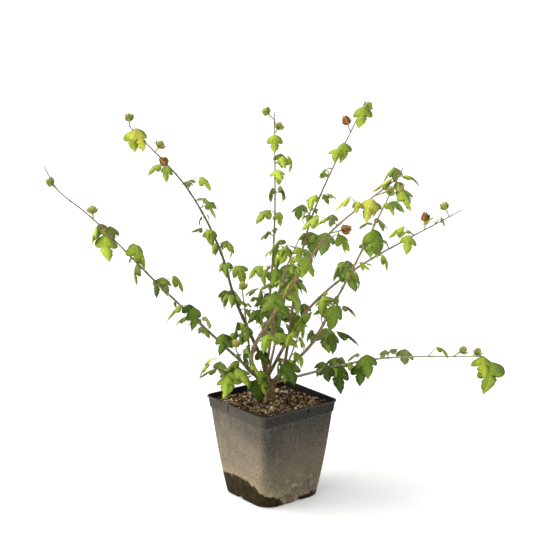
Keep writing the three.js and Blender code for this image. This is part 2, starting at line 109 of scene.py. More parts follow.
# The canes, as in the solids. Each runs from its share of its arm through the given places to its
# tip. A capsule is (distance from the tip, heading, rise, stalk), and a single leaf that stands out
# by itself is (distance from the tip, heading, lift, hang, roll, blade, stalk, tint). A cane's seed
# is its place here, counted from 1.
CANE_WORDS = (
    "name arm share through tip diameter stub bough spacing bare spur leaf leaves capsules singles"
).split()
CANES = [
    dict(zip(CANE_WORDS, row))
    for row in (
        ("far_left", "left", 0.75, ((-185, -25, 380), (-305, -38, 510), (-360, -45, 560)),
         (-380, -50, 600), (5.5, 2), 30, 75, 45, 150, 15, 45, 4,
         ((50, 180, 45, 15), (125, 150, 85, 10), (175, 180, 40, 15)),
         ((160, -150, -20, -68, -60, 46, 6, "lime"),)),
        ("upper_left", "centre", 1, ((-64, 30, 349), (-91, 50, 434), (-148, 75, 538)),
         (-250, 100, 645), (6.5, 2), 30, 70, 40, 110, 20, 45, 4,
         ((2, 180, 85, 10), (65, 0, 55, 10), (110, 180, 45, 15)),
         ((9, -90, -10, -80, 0, 40, 5, "lime"), (9, -20, 20, -60, 30, 44, 8, "yellow"))),
        ("short_left", "left", 1, ((-42, -6, 300),), (-50, -20, 375), (4.5, 2.5),
         12, None, 30, 10, 15, 40, 4, ((2, 90, 85, 6),), ()),
        ("centre_back", "centre", 0.85, ((5, 110, 460),), (5, 170, 660), (5.5, 2),
         30, 75, 35, 60, 20, 40, 4, ((15, 180, 45, 15), (40, 0, 60, 10)),
         ((42, -90, 20, -55, 0, 34, 5, "lime"),)),
        ("upper_right", "right", 1, ((65, 100, 460),), (170, 200, 675), (6, 2),
         28, 80, 45, 90, 20, 45, 4, ((20, 0, 35, 10), (65, 180, 70, 15)),
         ((12, -90, 20, -50, 0, 42, 5, "lime"),)),
        ("front", "left", 0.55,
         ((-35, -18, 257), (3, -60, 345), (47, -115, 430), (95, -170, 512)),
         (200, -250, 620), (7.5, 2.5), 30, 90, 50, 80, 20, 50, 4,
         ((10, -40, -60, 6), (60, 0, 20, 20), (172, 0, 15, 20)),
         ((10, 190, 20, -15, 20, 40, 6, "yellow"), (3, 0, 15, -15, -20, 34, 5, "lime"),
          (58, -160, -40, -62, -40, 40, 7, "yellow"))),
        ("right", "right", 0.8, ((70, -20, 282), (105, -40, 355), (135, -60, 420)),
         (215, -120, 610), (6.5, 2),
         28, 75, 40, 5, 20, 50, 4, (),
         ((72, 0, 10, -5, -50, 34, 4, "fresh"), (125, -60, 10, -55, 0, 46, 6, "mid"))),
        ("right_back", "centre", 0.35, ((27, 15, 275), (63, 40, 325), (140, 75, 386)),
         (340, 120, 490), (6.5, 2),
         34, 75, 40, 30, 20, 45, 4, ((25, 180, 65, 15), (75, 90, 85, 15)), ()),
        ("low_right", "right", 0.3, ((180, 40, 235),), (380, 60, 235), (5.5, 2),
         24, 75, 40, 80, 12, 50, 4, ((55, 0, 35, 15), (20, 0, 45, 6)),
         ((3, -90, 20, -50, 0, 42, 6, "lime"), (0, -30, -30, -70, 60, 60, 17, "fresh"),
          (230, -60, -10, -65, 20, 42, 6, "dark"), (255, -130, 0, -50, -30, 50, 6, "dark"))),
        ("inner_front", "centre", 0.6, ((15, -80, 400),), (45, -200, 510), (5.5, 2),
         30, 75, 35, 5, 20, 45, 4, (), ()),
        ("inner_back", "centre", 0.35, ((15, 140, 285),), (25, 260, 360), (5.5, 2),
         30, 75, 35, 5, 20, 45, 4, (), ()),
        ("low_middle", "right", 0.35, ((28, -30, 250),), (50, -60, 320), (4.5, 2.5),
         14, None, 25, 5, 15, 45, 4, (), ((72, -90, 10, -62, 0, 44, 8, "dark"),)),
        ("low_front", "left", 0.4, ((-42, -50, 245),), (-60, -100, 295), (4.5, 2.5),
         14, None, 30, 15, 15, 40, 4, ((2, -110, 85, 6),),
         ((120, -70, -10, -72, 0, 46, 6, "dark"),)),
        ("low_left", "left", 0.2, ((-52, -30, 220),), (-100, -70, 255), (4, 2),
         14, None, 30, 0, 15, 45, 5, (),
         ((45, -90, 50, -60, 0, 46, 10, "lime"), (15, 180, 30, -15, 30, 36, 5, "fresh"))),
    )
]
# The capsules that have dried and opened: (cane, place in its list).
DRY_CAPSULES = {("upper_left", 2), ("upper_right", 1), ("front", 2), ("right_back", 1)}

# The rule of growth. A pair is the least and the greatest that a draw gives.
STREAM_START = 2654435761
STREAM_TIMES = 1664525
STREAM_PLUS = 1013904223
STREAM_RANGE = 2**32
ROUTE_PARTS = 200  # straight parts in which a route's length is measured
FIRST_NODE = 15  # distance from the end of the bare part to the first node
NODE_STRAY = 0.2  # share of the spacing by which a node strays
NODE_TURN = 137.5
SPUR_STRAY = 50  # to either side of its node's turn
SPUR_RISE = (10, 60)
SPUR_SIZES = (0.4, 1.6)
SPUR_SHRINK = 0.5  # how much shorter a spur is at the cane's tip, as a share
SPUR_RADII = (1.08, 0.81)  # at its foot and its tip
SPUR_LEAFY = 0.8  # share of a spur that bears leaves
LEAF_COUNTS = (0.75, 1.25)
LEAF_THINNING = 0.45  # how many fewer leaves a spur bears at the cane's tip, as a share
LEAF_FAN = 58  # from one leaf's heading to the next
LEAF_STRAY = 30
LEAF_LIFT = (5, 50)
LEAF_HANG = (-80, -10)
LEAF_ROLL = 35
LEAF_SIZES = (0.6, 1.3)
LEAF_SHRINK = 0.25  # how much shorter a blade is at the cane's tip, as a share
STALK_SHARES = (0.25, 0.5)  # a leaf's stalk against its blade
LEAF_CURL = 35
LEAF_FOLD = 0.25
CAPSULE_LENGTH = 17
CAPSULE_DIAMETER = 14

# ---- Sizes that only the finished surfaces have ----
FINER_SEED = 100  # added to a cane's seed for its finer shoots
FINER_PLACE = (0.3, 0.7)  # a finer shoot's way to the next node, as shares of the spacing
FINER_LEAVES = 2
FINER_REACH = 0.6  # share of a cane, from its foot, that bears finer shoots
FINER_SIZES = (0.35, 0.7)  # a finer shoot's blades, as shares of the cane's typical blade
FINER_FAN = 120
STALK_RADII = (0.66, 0.44)  # a leaf stalk's, at its foot and its end
CAPSULE_STALK_RADII = (1.0, 1.3)
SINGLE_TONE = 0.3  # tone of a single leaf at the cane's very tip
SINGLE_TONE_STEP = 0.37  # for each millimetre from the tip; only what follows the point counts
BLADE_SCALE = 0.82  # a finished blade's length against the rule's
CANE_CLEAR = 1.2  # space that a blade keeps from every cane
TRUNK_CLEAR = 26  # a blade's least distance from the trunk's middle line
LINE_STEP = 3.0  # between the places of a cane that a blade is tried against
NET_HALF = 0.36  # half width of the net of tried points, against the blade's length
NET_NARROWING = 1.15  # less the reach gives the net's share of its half width

TRUNK_ROWS = 26
TRUNK_SIDES = 28
ARM_ROWS = 18
ARM_SIDES = 16
CANE_SIDES = 12
CANE_ROW = 3  # length of one row of a cane's surface
CANE_THINNING = 0.2  # how much slimmer a finished cane is at its tip than the solid
NODE_SWELL = 0.3
NODE_SWELL_WIDTH = 3
# The bark of the canes that stand out from the rest.
CANE_BARKS = {
    "upper_left": "brown", "low_left": "brown", "low_front": "brown", "low_right": "pale",
}

GREEN_CORE = 0.92  # share of a green capsule's size inside its sepals
DRY_CORE = 0.7  # what is left of a dry capsule inside its valves
CAPSULE_SIDES = 20
CAPSULE_RIB = 0.08
EGG_LENGTH = 0.92  # the egg without its beak, against the capsule's length
EGG_FOOT = 0.12  # radius where the egg starts; as the next ones, against its half width
EGG_LOW = 0.68
EGG_FULLER = 0.45
BEAK_AT = (0.99, 1.06, 1.12)
BEAK_RADII = (0.16, 0.09, 0.02)
# Rings of pointed plates round a capsule's foot: how many, their tilt from its axis, their length,
# their width against a plain leaf's and their bend.
VALVES = (5, 40, 18, 1.1, -70)
SEPALS = (5, 70, 16, 0.75, -72)
BRACTS = (5, 80, 13, 0.3, -50)
BRACT_FOLD = 0.1

CRUMB_HEIGHT = 0.8
SOIL_COLOURS = ((0.022, 0.013, 0.007), (0.06, 0.038, 0.018))
CHIPS = 2600
CHIP_SEED = 7
CHIP_LENGTH = 13
CHIP_WIDTH = 5
CHIP_MARGIN = 5  # from the pot's inner wall to the chips' middles
CHIP_RISE = 27  # spread of the chips' rise
CHIP_ROLL = 25  # spread of their roll
CHIP_TAPER = 0.35
CHIP_TINTS = {
    "dark": (0.045, 0.024, 0.012),
    "brown": (0.19, 0.1, 0.045),
    "tan": (0.5, 0.34, 0.18),
    "pale": (0.8, 0.68, 0.45),
}
CHIP_SHARES = (0.32, 0.3, 0.24, 0.14)  # how many of the chips have each tint

LEAF_TINTS = ("dark", "mid", "fresh", "lime", "yellow")
TINT_LIMITS = (0.34, 0.56, 0.8, 0.98)  # ripeness at which a leaf passes from a tint to the next
RIPE_BY_PLACE = 0.62
RIPE_BY_TONE = 0.5
# How much riper a cane's leaves are than their place on it alone makes them.
RIPENESS = {
    "far_left": 0.06, "upper_left": 0.06, "front": 0.14, "low_left": 0.14, "centre_back": 0.06,
    "upper_right": 0.08, "right_back": 0.06,
}

# One side of a leaf, point by point: where it joins the midrib, its share of the blade along and
# its share across. A large leaf has three lobes, the middle one long and toothed; a small one is
# plain.
LEAF_RIBS = np.array(
    (0, 0.05, 0.11, 0.17, 0.23, 0.29, 0.34, 0.38, 0.43, 0.52, 0.62, 0.69, 0.77, 0.86, 1.0)
)
LOBED_REACH = np.array(
    (0, 0.03, 0.09, 0.18, 0.31, 0.43, 0.51, 0.52, 0.43, 0.52, 0.6, 0.67, 0.76, 0.86, 1.0)
)
LOBED_HALF = np.array(
    (0.02, 0.13, 0.27, 0.36, 0.41, 0.43, 0.37, 0.27, 0.12, 0.19, 0.24, 0.2, 0.2, 0.12, 0.0)
)
PLAIN_REACH = np.array(
    (0, 0.05, 0.12, 0.2, 0.28, 0.37, 0.41, 0.44, 0.5, 0.57, 0.63, 0.7, 0.78, 0.87, 1.0)
)
PLAIN_HALF = np.array(
    (0.02, 0.1, 0.19, 0.25, 0.3, 0.32, 0.31, 0.28, 0.26, 0.27, 0.23, 0.2, 0.17, 0.1, 0.0)
)
POINT_HALF = 0.006  # half width that a blade keeps at its point
LEAF_THICK = 0.35
LEAF_BEND = (25, 110)  # how far a blade arches from its joint to its tip
LEAF_SWEEP = 0.3  # how far a blade's tip may sweep to one side, as a share of its length
LEAF_SKEW = 0.2  # how much wider one half of a blade may be than the other
LEAF_CUP = 0.5  # how far the sides of a blade curl down, for each square of their width
TONE_TIMES = (7.3, 13.7, 29.3)  # tone's multiples for a blade's own bend, sweep and skew
# A blade is plain at PLAIN_BLADE and lobed at LOBING_SPAN more. A tone above LOBING_TONE lobes it
# sooner, a lower one later, by LOBING_CHANCE times the difference.
PLAIN_BLADE = 8
LOBING_SPAN = 14
LOBING_CHANCE = 0.8
LOBING_TONE = 0.3

# Height of the pot's water stain round its foot, by heading from -180, in millimetres.
STAIN_HEIGHTS = (
    (-180, 41), (-134, 46), (-110, 38), (-96, 26), (-82, 21), (-68, 2), (-58, 2), (-50, 11),
    (-30, 12), (0, 14), (45, 22), (90, 30), (135, 30), (180, 41),
)
STAIN_TOP = 50


# ---- Directions, routes and the seeded rule, as in the solids ----
def aim(heading, rise):
    """Unit vector (cos h cos r, sin h cos r, sin r); headings and rises may be arrays."""
    h, r = np.radians(heading), np.radians(rise)
    return np.stack((np.cos(h) * np.cos(r), np.sin(h) * np.cos(r), np.sin(r) + 0 * h), axis=-1)


def stream(seed):
    """The solids' seeded stream: each state is the last times STREAM_TIMES plus STREAM_PLUS, kept
    within STREAM_RANGE."""
    state = [seed * STREAM_START % STREAM_RANGE]

    def draw(low=0.0, high=1.0):
        state[0] = (state[0] * STREAM_TIMES + STREAM_PLUS) % STREAM_RANGE
        return low + (high - low) * state[0] / STREAM_RANGE

    draw()
    draw()
    return draw


def mulch_height(x, y):
    """Height of the mulch: a slope to the back and two crossed waves of small lumps."""
    lumps = np.sin(0.21 * x + 0.7) * np.cos(0.17 * y) + np.sin(0.11 * (x + y) + 2)
    return MULCH_AT_TRUNK - MULCH_SLOPE * (y - TRUNK_FOOT[1]) + MULCH_LUMP / 2 * lumps


def arm_point(name, share):
    arm = ARMS[name]
    foot = TRUNK_FOOT + np.array((0, 0, arm["up"]))
    return foot + aim(arm["heading"], arm["rise"]) * arm["length"] * share


class Route:
    """A cane's line: the centripetal Catmull-Rom curve from its foot through its places to its tip,
    measured by its length in ROUTE_PARTS straight parts."""

    def __init__(self, cane):
        foot = arm_point(cane["arm"], cane["share"])
        self.cubics = self._cubics(np.array((foot, *cane["through"], cane["tip"]), float))
        self.diameter = cane["diameter"]
        self.shares = np.linspace(0, 1, ROUTE_PARTS + 1)
        steps = np.linalg.norm(np.diff(self._curve(self.shares), axis=0), axis=1)
        self.lengths = np.concatenate(((0,), np.cumsum(steps)))
        self.length = self.lengths[-1]

    @staticmethod
    def _cubics(places):
        """Each stretch's cubic from its ends and its slopes there. A slope is the blend of the
        steps on both sides over knots as long as the square root of each step; the line's own ends
        are mirrored outwards."""
        outer = np.stack((2 * places[0] - places[1], 2 * places[-1] - places[-2]))
        line = np.concatenate((outer[:1], places, outer[1:]))
        knot = np.sqrt(np.linalg.norm(np.diff(line, axis=0), axis=1, keepdims=True))
        step = np.diff(line, axis=0) / knot
        wide = (line[2:] - line[:-2]) / (knot[1:] + knot[:-1])
        slope = step[:-1] + step[1:] - wide
        low, high = slope[:-1] * knot[1:-1], slope[1:] * knot[1:-1]
        start, end = places[:-1], places[1:]
        square = 3 * (end - start) - 2 * low - high
        cube = 2 * (start - end) + low + high
        return np.stack((start, low, square, cube))

    def _stretch(self, share):
        """The cubic's four terms at a share of the line, and the place within its stretch."""
        stretches = self.cubics.shape[1]
        place = np.asarray(share, float) * stretches
        index = np.minimum(place.astype(int), stretches - 1)
        return self.cubics[:, index], (place - index)[..., None]

    def _curve(self, share):
        (a, b, c, d), t = self._stretch(share)
        return a + t * (b + t * (c + t * d))

    def point(self, at):
        return self._curve(np.interp(at, self.lengths, self.shares))

    def way(self, at):
        """Heading and rise of the curve's own direction."""
        (a, b, c, d), t = self._stretch(np.interp(at, self.lengths, self.shares))
        x, y, z = np.moveaxis(b + t * (2 * c + t * 3 * d), -1, 0)
        return np.degrees(np.arctan2(y, x)), np.degrees(np.arctan2(z, np.hypot(x, y)))

    def radius(self, at):
        low, high = self.diameter
        return (low + (high - low) * np.clip(at / self.length, 0, 1)) / 2


def bare_end(cane):
    """Where the cane's bare bough ends, or the stub of a cane that has none."""
    return cane["bough"] or cane["stub"]


def grow_leaf(draw, heading, root, size, share, cane):
    """One leaf of the rule, with its draws in the solids' order, or a finer shoot's own leaf."""
    spec = {
        "root": root,
        "heading": heading + draw(-LEAF_STRAY, LEAF_STRAY),
        "lift": draw(*LEAF_LIFT),
        "hang": draw(*LEAF_HANG),
        "roll": draw(-LEAF_ROLL, LEAF_ROLL),
        "blade": size * draw(*LEAF_SIZES) * (1 - LEAF_SHRINK * share),
    }
    spec["stalk"] = spec["blade"] * draw(*STALK_SHARES)
    spec["blade"] *= BLADE_SCALE
    spec["tone"] = draw()
    ripeness = RIPE_BY_PLACE * share + RIPE_BY_TONE * spec["tone"] + RIPENESS.get(cane["name"], 0)
    spec["tint"] = LEAF_TINTS[int(np.digitize(ripeness, TINT_LIMITS))]
    return spec


def single_leaf(route, back, heading, lift, hang, roll, blade, stalk, tint):
    """One of the leaves that stand out by themselves. Its tone comes from its place."""
    return {
        "root": route.point(route.length - back),
        "heading": heading, "lift": lift, "hang": hang, "roll": roll, "blade": blade,
        "stalk": stalk, "tone": (SINGLE_TONE + SINGLE_TONE_STEP * back) % 1, "tint": tint,
    }


def clear_leaves(leaves, routes):
    """The leaves whose blades keep clear of every cane and of the trunk, tried on a coarse net of
    points that narrows towards the blade's tip."""
    joint, chord, across, size = (np.stack(each) for each in zip(*map(blade_axes, leaves)))
    half = NET_HALF
    reach, aside = np.meshgrid(np.linspace(0.12, 1, 9), np.linspace(-half, half, 7), indexing="ij")
    aside = aside * (NET_NARROWING - reach)
    chord, across = chord[:, None, None], across[:, None, None]
    net = reach[None, :, :, None] * chord + aside[None, :, :, None] * across
    net = (joint[:, None, None] + net * size[:, None, None, None]).reshape(len(leaves), -1, 3)
    lines = []
    for route in routes:
        at = np.arange(0, route.length, LINE_STEP)
        lines.append((route.point(at), route.radius(at) + CANE_CLEAR))
    up_trunk = np.arange(0, TRUNK_FORK_HEIGHT, LINE_STEP)
    lines.append((TRUNK_FOOT + UP * up_trunk[:, None], TRUNK_CLEAR))
    clear = np.ones(len(leaves), bool)
    for line, room in lines:
        for index in np.flatnonzero(clear):
            gaps = np.linalg.norm(net[index][:, None] - line, axis=-1)
            clear[index] = (gaps > room).all()
    return [leaf for leaf, free in zip(leaves, clear) if free]


def grow_node(cane, route, node, draw, fine):
    """One node's spur and leaves, from the same draws as the solids, and the leaves of a finer
    shoot part of the way to the next node, from a stream of their own."""
    even = bare_end(cane) + FIRST_NODE + node * cane["spacing"]
    at = min(even + cane["spacing"] * draw(-NODE_STRAY, NODE_STRAY), route.length)
    share = at / route.length
    root = route.point(at)
    turn = NODE_TURN * node + draw(-SPUR_STRAY, SPUR_STRAY)
    rise = draw(*SPUR_RISE)
    reach = cane["spur"] * draw(*SPUR_SIZES) * (1 - SPUR_SHRINK * share)
    tip = root + aim(turn, rise) * reach
    wanted = cane["leaves"] * draw(*LEAF_COUNTS) * (1 - LEAF_THINNING * share)
    count = max(1, int(math.floor(wanted + 0.5)))
    leaves = []
    for k in range(count):
        heading = turn + (k - (count - 1) / 2) * LEAF_FAN
        foot = tip + (root - tip) * SPUR_LEAFY * k / count
        leaves.append(grow_leaf(draw, heading, foot, cane["leaf"], share, cane))
    at = min(at + cane["spacing"] * fine(*FINER_PLACE), route.length)
    share = at / route.length
    for k in range(FINER_LEAVES if share < FINER_REACH else 0):
        size = cane["leaf"] * fine(*FINER_SIZES)
        heading = turn + 180 + FINER_FAN * k
        leaves.append(grow_leaf(fine, heading, route.point(at), size, share, cane))
    return (root, turn, rise, reach + 1, *SPUR_RADII), leaves


def grow_shrub():
    """Every spur, leaf and capsule of the shrub, cane by cane."""
    spurs, leaves, singles, capsules, routes = [], [], [], [], []
    for index, cane in enumerate(CANES):
        route = Route(cane)
        routes.append(route)
        singles += [single_leaf(route, *single) for single in cane["singles"]]
        draw, fine = stream(index + 1), stream(index + 1 + FINER_SEED)
        first = bare_end(cane) + FIRST_NODE
        nodes = 1 + int((route.length - cane["bare"] - first) // cane["spacing"])
        for node in range(nodes):
            spur, grown = grow_node(cane, route, node, draw, fine)
            spurs.append(spur)
            leaves += grown
        for place, (back, heading, rise, stalk) in enumerate(cane["capsules"]):
            dry = (cane["name"], place) in DRY_CAPSULES
            capsules.append((route.point(route.length - back), heading, rise, stalk, dry))
    return spurs, singles + clear_leaves(leaves, routes), capsules


# ---- Meshes ----
def make_object(name, vertices, faces, materials, uv=None, cut=None, second=None, smooth=True):
    """A mesh object at the origin from millimetre vertices and quads (a triangle repeats its last
    corner). uv and the mask of painted shade are per vertex; second marks faces of material two."""
    mesh = bpy.data.meshes.new(name)
    quads = np.asarray(faces)
    cells = [tuple(q[:3]) if q[2] == q[3] else tuple(q) for q in quads.tolist()]
    mesh.from_pydata((np.asarray(vertices) * MM).tolist(), [], cells)
    if smooth:
        mesh.polygons.foreach_set("use_smooth", np.ones(len(cells), bool))
    if uv is not None:
        corners = np.empty(len(mesh.loops), np.int32)
        mesh.loops.foreach_get("vertex_index", corners)
        layer = mesh.uv_layers.new(name="leaf")
        layer.data.foreach_set("uv", np.asarray(uv)[corners].astype(np.float32).ravel())
    if cut is not None:
        mask = mesh.attributes.new("cut", "FLOAT", "POINT")
        mask.data.foreach_set("value", np.asarray(cut, np.float32))
    for material in materials:
        mesh.materials.append(material)
    if second is not None:
        mesh.polygons.foreach_set("material_index", np.asarray(second, np.int32))
    mesh.update()
    piece = bpy.data.objects.new(name, mesh)
    bpy.context.scene.collection.objects.link(piece)
    return piece


def declare(piece, slot, *nodes):
    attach(piece, "root")
    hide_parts(*nodes)


def loft(grid):
    """Closed skin of a grid of rings (rows along, columns round), each end shut by a fan."""
    rows, columns = grid.shape[:2]
    i, j = np.meshgrid(np.arange(rows - 1), np.arange(columns), indexing="ij")
    after = (j + 1) % columns
    sides = np.stack(
        (i * columns + j, i * columns + after, (i + 1) * columns + after, (i + 1) * columns + j), -1
    ).reshape(-1, 4)
    ring = np.arange(columns)
    round_ring = (ring + 1) % columns
    last = (rows - 1) * columns
    start, end = rows * columns, rows * columns + 1
    foot = np.stack((round_ring, ring, ring * 0 + start, ring * 0 + start), -1)
    head = np.stack((last + ring, last + round_ring, ring * 0 + end, ring * 0 + end), -1)
    centres = np.stack((grid[0].mean(0), grid[-1].mean(0)))
    vertices = np.concatenate((grid.reshape(-1, 3), centres))
    return vertices, np.concatenate((sides, foot, head))


def join(parts):
    """One list of vertices and one of faces out of many."""
    counts = np.cumsum([0] + [len(v) for v, _ in parts[:-1]])
    vertices = np.concatenate([v for v, _ in parts])
    return vertices, np.concatenate([f + c for (_, f), c in zip(parts, counts)])


def tube(points, heading, rise, radius, sides):
    """Rings of the given radii round a line, each square to its heading and rise."""
    angle = np.linspace(0, 2 * np.pi, sides, endpoint=False)
    across = aim(heading + 90, 0 * rise)[:, None]
    above = aim(heading, rise + 90)[:, None]
    ring = np.cos(angle)[None, :, None] * across + np.sin(angle)[None, :, None] * above
    return points[:, None] + ring * (radius[:, None] if radius.ndim == 1 else radius)[..., None]


def straight_tube(root, heading, rise, length, foot_radius, tip_radius, sides=5, rows=3):
    """A straight tapering limb."""
    at = np.linspace(0, length, rows)
    points = root + aim(heading, rise) * at[:, None]
    radius = foot_radius + (tip_radius - foot_radius) * at / length
    return loft(tube(points, np.full(rows, heading), np.full(rows, rise), radius, sides))


def plates(joint, forward, sag, across, size, reach, half, bend, fold, cup, sweep=0, skew=0):
    """Thin closed plates, one per row of the arrays. A point at (u, v) lies at joint + way(u) u
    size + across (v + sweep u u) size + normal(u) (-fold |v| - cup v v) size, and v is widened on
    one side and narrowed on the other by skew. way(u) swings from forward towards sag by half of
    bend times u, and normal(u) stands on the swung blade. A side point takes its u from reach and
    is joined to the midrib at LEAF_RIBS. The underside is one ridge under the midrib."""
    count, stations = half.shape
    side = np.array((-1.0, 0.0, 1.0))
    u = np.where(side == 0, LEAF_RIBS[:, None], reach[..., None])
    v = half[:, :, None] * side * (1 + np.reshape(skew, (-1, 1, 1)) * side)
    aside = v + np.reshape(sweep, (-1, 1, 1)) * u**2
    swing = np.radians(bend)[:, None, None] * u
    forward, sag, across = (axis[:, None, None] for axis in (forward, sag, across))
    way = np.cos(swing / 2)[..., None] * forward + np.sin(swing / 2)[..., None] * sag
    normal = np.sin(swing)[..., None] * forward - np.cos(swing)[..., None] * sag
    lift = -fold * np.abs(v) - cup * v**2
    blade = way * u[..., None] + across * aside[..., None] + normal * lift[..., None]
    top = joint[:, None, None] + blade * size[:, None, None, None]
    under = top[:, :, 1] - normal[:, :, 1] * LEAF_THICK
    vertices = np.concatenate((top.reshape(count, -1, 3), under), axis=1)

    i = np.arange(stations - 1)
    left, middle, right, ridge = 3 * i, 3 * i + 1, 3 * i + 2, 3 * stations + i
    end = 3 * (stations - 1)
    foot_ridge, tip_ridge = 3 * stations, 4 * stations - 1
    upper = [
        np.stack((left, left + 3, middle + 3, middle), -1),
        np.stack((middle, middle + 3, right + 3, right), -1),
    ]
    lower = [
        np.stack((ridge, ridge + 1, left + 3, left), -1),
        np.stack((right, right + 3, ridge + 1, ridge), -1),
        np.array(
            (
                (0, 1, foot_ridge, foot_ridge),
                (1, 2, foot_ridge, foot_ridge),
                (end + 1, end, tip_ridge, tip_ridge),
                (end + 2, end + 1, tip_ridge, tip_ridge),
            )
        ),
    ]
    template = np.concatenate(upper + lower)
    is_under = np.arange(len(template)) >= 2 * len(i)
    faces = template + vertices.shape[1] * np.arange(count)[:, None, None]
    spot = np.stack((u + 0 * v, 0.5 + v), -1)
    ridge_spot = np.stack((np.broadcast_to(LEAF_RIBS, half.shape), np.full(half.shape, 0.5)), -1)
    uv = np.concatenate((spot.reshape(count, -1, 2), ridge_spot), axis=1)
    is_under = np.tile(is_under, count)
    return vertices.reshape(-1, 3), faces.reshape(-1, 4), uv.reshape(-1, 2), is_under


def blade_axes(leaf):
    """A blade's joint, its chord from joint to tip, its direction across and its length. The chord
    hangs by half of LEAF_CURL more than the leaf, and the blade rolls round it."""
    chord = aim(leaf["heading"], leaf["hang"] - LEAF_CURL / 2)
    level = aim(leaf["heading"] + 90, 0)
    roll = math.radians(leaf["roll"])
    across = math.cos(roll) * level + math.sin(roll) * np.cross(chord, level)
    joint = leaf["root"] + aim(leaf["heading"], leaf["lift"]) * leaf["stalk"]
    return joint, chord, across, leaf["blade"]


def leaf_plates(leaves):
    """The rule's leaves: each blade arches about its chord by its own share of LEAF_BEND, folds at
    its rib and curls down at its sides. Large blades are lobed and small ones plain, with all
    shapes between them. A blade's own bend, sweep and skew come from its tone, multiplied so that
    only what follows the point counts."""
    joint, chord, across, blade = (np.stack(each) for each in zip(*map(blade_axes, leaves)))
    tone = np.array([leaf["tone"] for leaf in leaves])
    own_bend, own_sweep, own_skew = (times * tone % 1 for times in TONE_TIMES)
    bend = LEAF_BEND[0] + (LEAF_BEND[1] - LEAF_BEND[0]) * own_bend
    lean = np.radians(bend / 2)[:, None]
    normal = np.cross(chord, across)
    forward = np.cos(lean) * chord + np.sin(lean) * normal
    sag = np.sin(lean) * chord - np.cos(lean) * normal
    lobing = (blade - PLAIN_BLADE) / LOBING_SPAN + LOBING_CHANCE * (tone - LOBING_TONE)
    lobing = np.clip(lobing, 0, 1)[:, None]
    reach = PLAIN_REACH + (LOBED_REACH - PLAIN_REACH) * lobing
    half = np.maximum(PLAIN_HALF + (LOBED_HALF - PLAIN_HALF) * lobing, POINT_HALF)
    sweep = LEAF_SWEEP * (2 * own_sweep - 1)
    skew = LEAF_SKEW * (2 * own_skew - 1)
    return plates(
        joint, forward, sag, across, blade, reach, half, bend, LEAF_FOLD, LEAF_CUP, sweep, skew
    )


def capsule_egg(root, heading, rise, stalk, dry):
    """An egg with five ribs and a short beak: the radius is an ellipse, fuller above, times
    1 + CAPSULE_RIB cos(5 angle). A dry one has shrunk inside its open valves."""
    theta = np.linspace(0, np.pi, 13)[1:-1]
    along = (1 - np.cos(theta)) / 2
    t = np.concatenate(((0,), along, BEAK_AT))
    egg = np.sin(theta) * (EGG_LOW + EGG_FULLER * along)
    shape = np.concatenate(((EGG_FOOT,), egg, BEAK_RADII))
    angle = np.linspace(0, 2 * np.pi, CAPSULE_SIDES, endpoint=False)
    core = DRY_CORE if dry else GREEN_CORE
    radius = core * CAPSULE_DIAMETER / 2 * shape[:, None] * (1 + CAPSULE_RIB * np.cos(5 * angle))
    foot = root + aim(heading, rise) * (stalk - 1)
    points = foot + aim(heading, rise) * (t * core * EGG_LENGTH * CAPSULE_LENGTH)[:, None]
    rows = np.ones(len(t))
    return loft(tube(points, heading * rows, rise * rows, radius, CAPSULE_SIDES))


def capsule_bracts(root, heading, rise, stalk, count, tilt, size, width, bend):
    """A ring of thin pointed plates round a capsule's foot, tilted out from its axis and curling
    outwards, or inwards where bend is negative."""
    axis = aim(heading, rise)
    across = aim(heading + 90, 0)
    above = np.cross(axis, across)
    turn = np.arange(count)[:, None] * 2 * np.pi / count
    radial = np.cos(turn) * across + np.sin(turn) * above
    tip = math.radians(tilt)
    forward = math.cos(tip) * axis + math.sin(tip) * radial
    outward = math.cos(tip) * radial - math.sin(tip) * axis
    joint = np.broadcast_to(root + axis * (stalk - 0.5), forward.shape) + radial
    side = np.cross(forward, outward)
    shape = (count, len(PLAIN_HALF))
    reach = np.broadcast_to(PLAIN_REACH, shape)
    half = np.maximum(np.broadcast_to(PLAIN_HALF * width, shape), POINT_HALF)
    whole = np.ones(count)
    return plates(
        joint, forward, outward, side, size * whole, reach, half, bend * whole, BRACT_FOLD, 0
    )


# ---- The pot's surface ----
def square_ring(half, corner, columns):
    """A square with rounded corners, seen in each face's own frame. Each face runs over a from -1
    to 1: the first FLAT_SHARE of |a| is straight and the rest turns the corner. Returns the
    distance out, the distance along and the face of each column; half and corner may be arrays of
    rows."""
    a = np.linspace(-1, 1, columns, endpoint=False)
    a, face = np.tile(a, 4), np.repeat(np.arange(4), columns)
    half, corner = np.asarray(half, float)[..., None], np.asarray(corner, float)[..., None]
    bend = np.clip((np.abs(a) - FLAT_SHARE) / (1 - FLAT_SHARE), 0, 1) * np.pi / 4
    flat = np.minimum(np.abs(a) / FLAT_SHARE, 1)
    along = np.sign(a) * (flat * (half - corner) + corner * np.sin(bend))
    out = half - corner + corner * np.cos(bend)
    return out, along, face


def turned(out, along, face, z):
    """Places of (out, along) on their faces, in the pot's own turn."""
    angle = np.radians(POT_TURN + 90 * face)
    x = out * np.cos(angle) - along * np.sin(angle)
    y = out * np.sin(angle) + along * np.cos(angle)
    return np.stack((x, y, np.broadcast_to(z, x.shape)), -1)


def pot_corner(z):
    """The corners' radius: RIM_CORNER at the rim, opening with the cube of the depth below it."""
    return RIM_CORNER + (FOOT_CORNER - RIM_CORNER) * (1 - z / POT_HEIGHT) ** 3


def wall_half(z):
    return FOOT_HALF + (WALL_TOP_HALF - FOOT_HALF) * z / BAND_FOOT


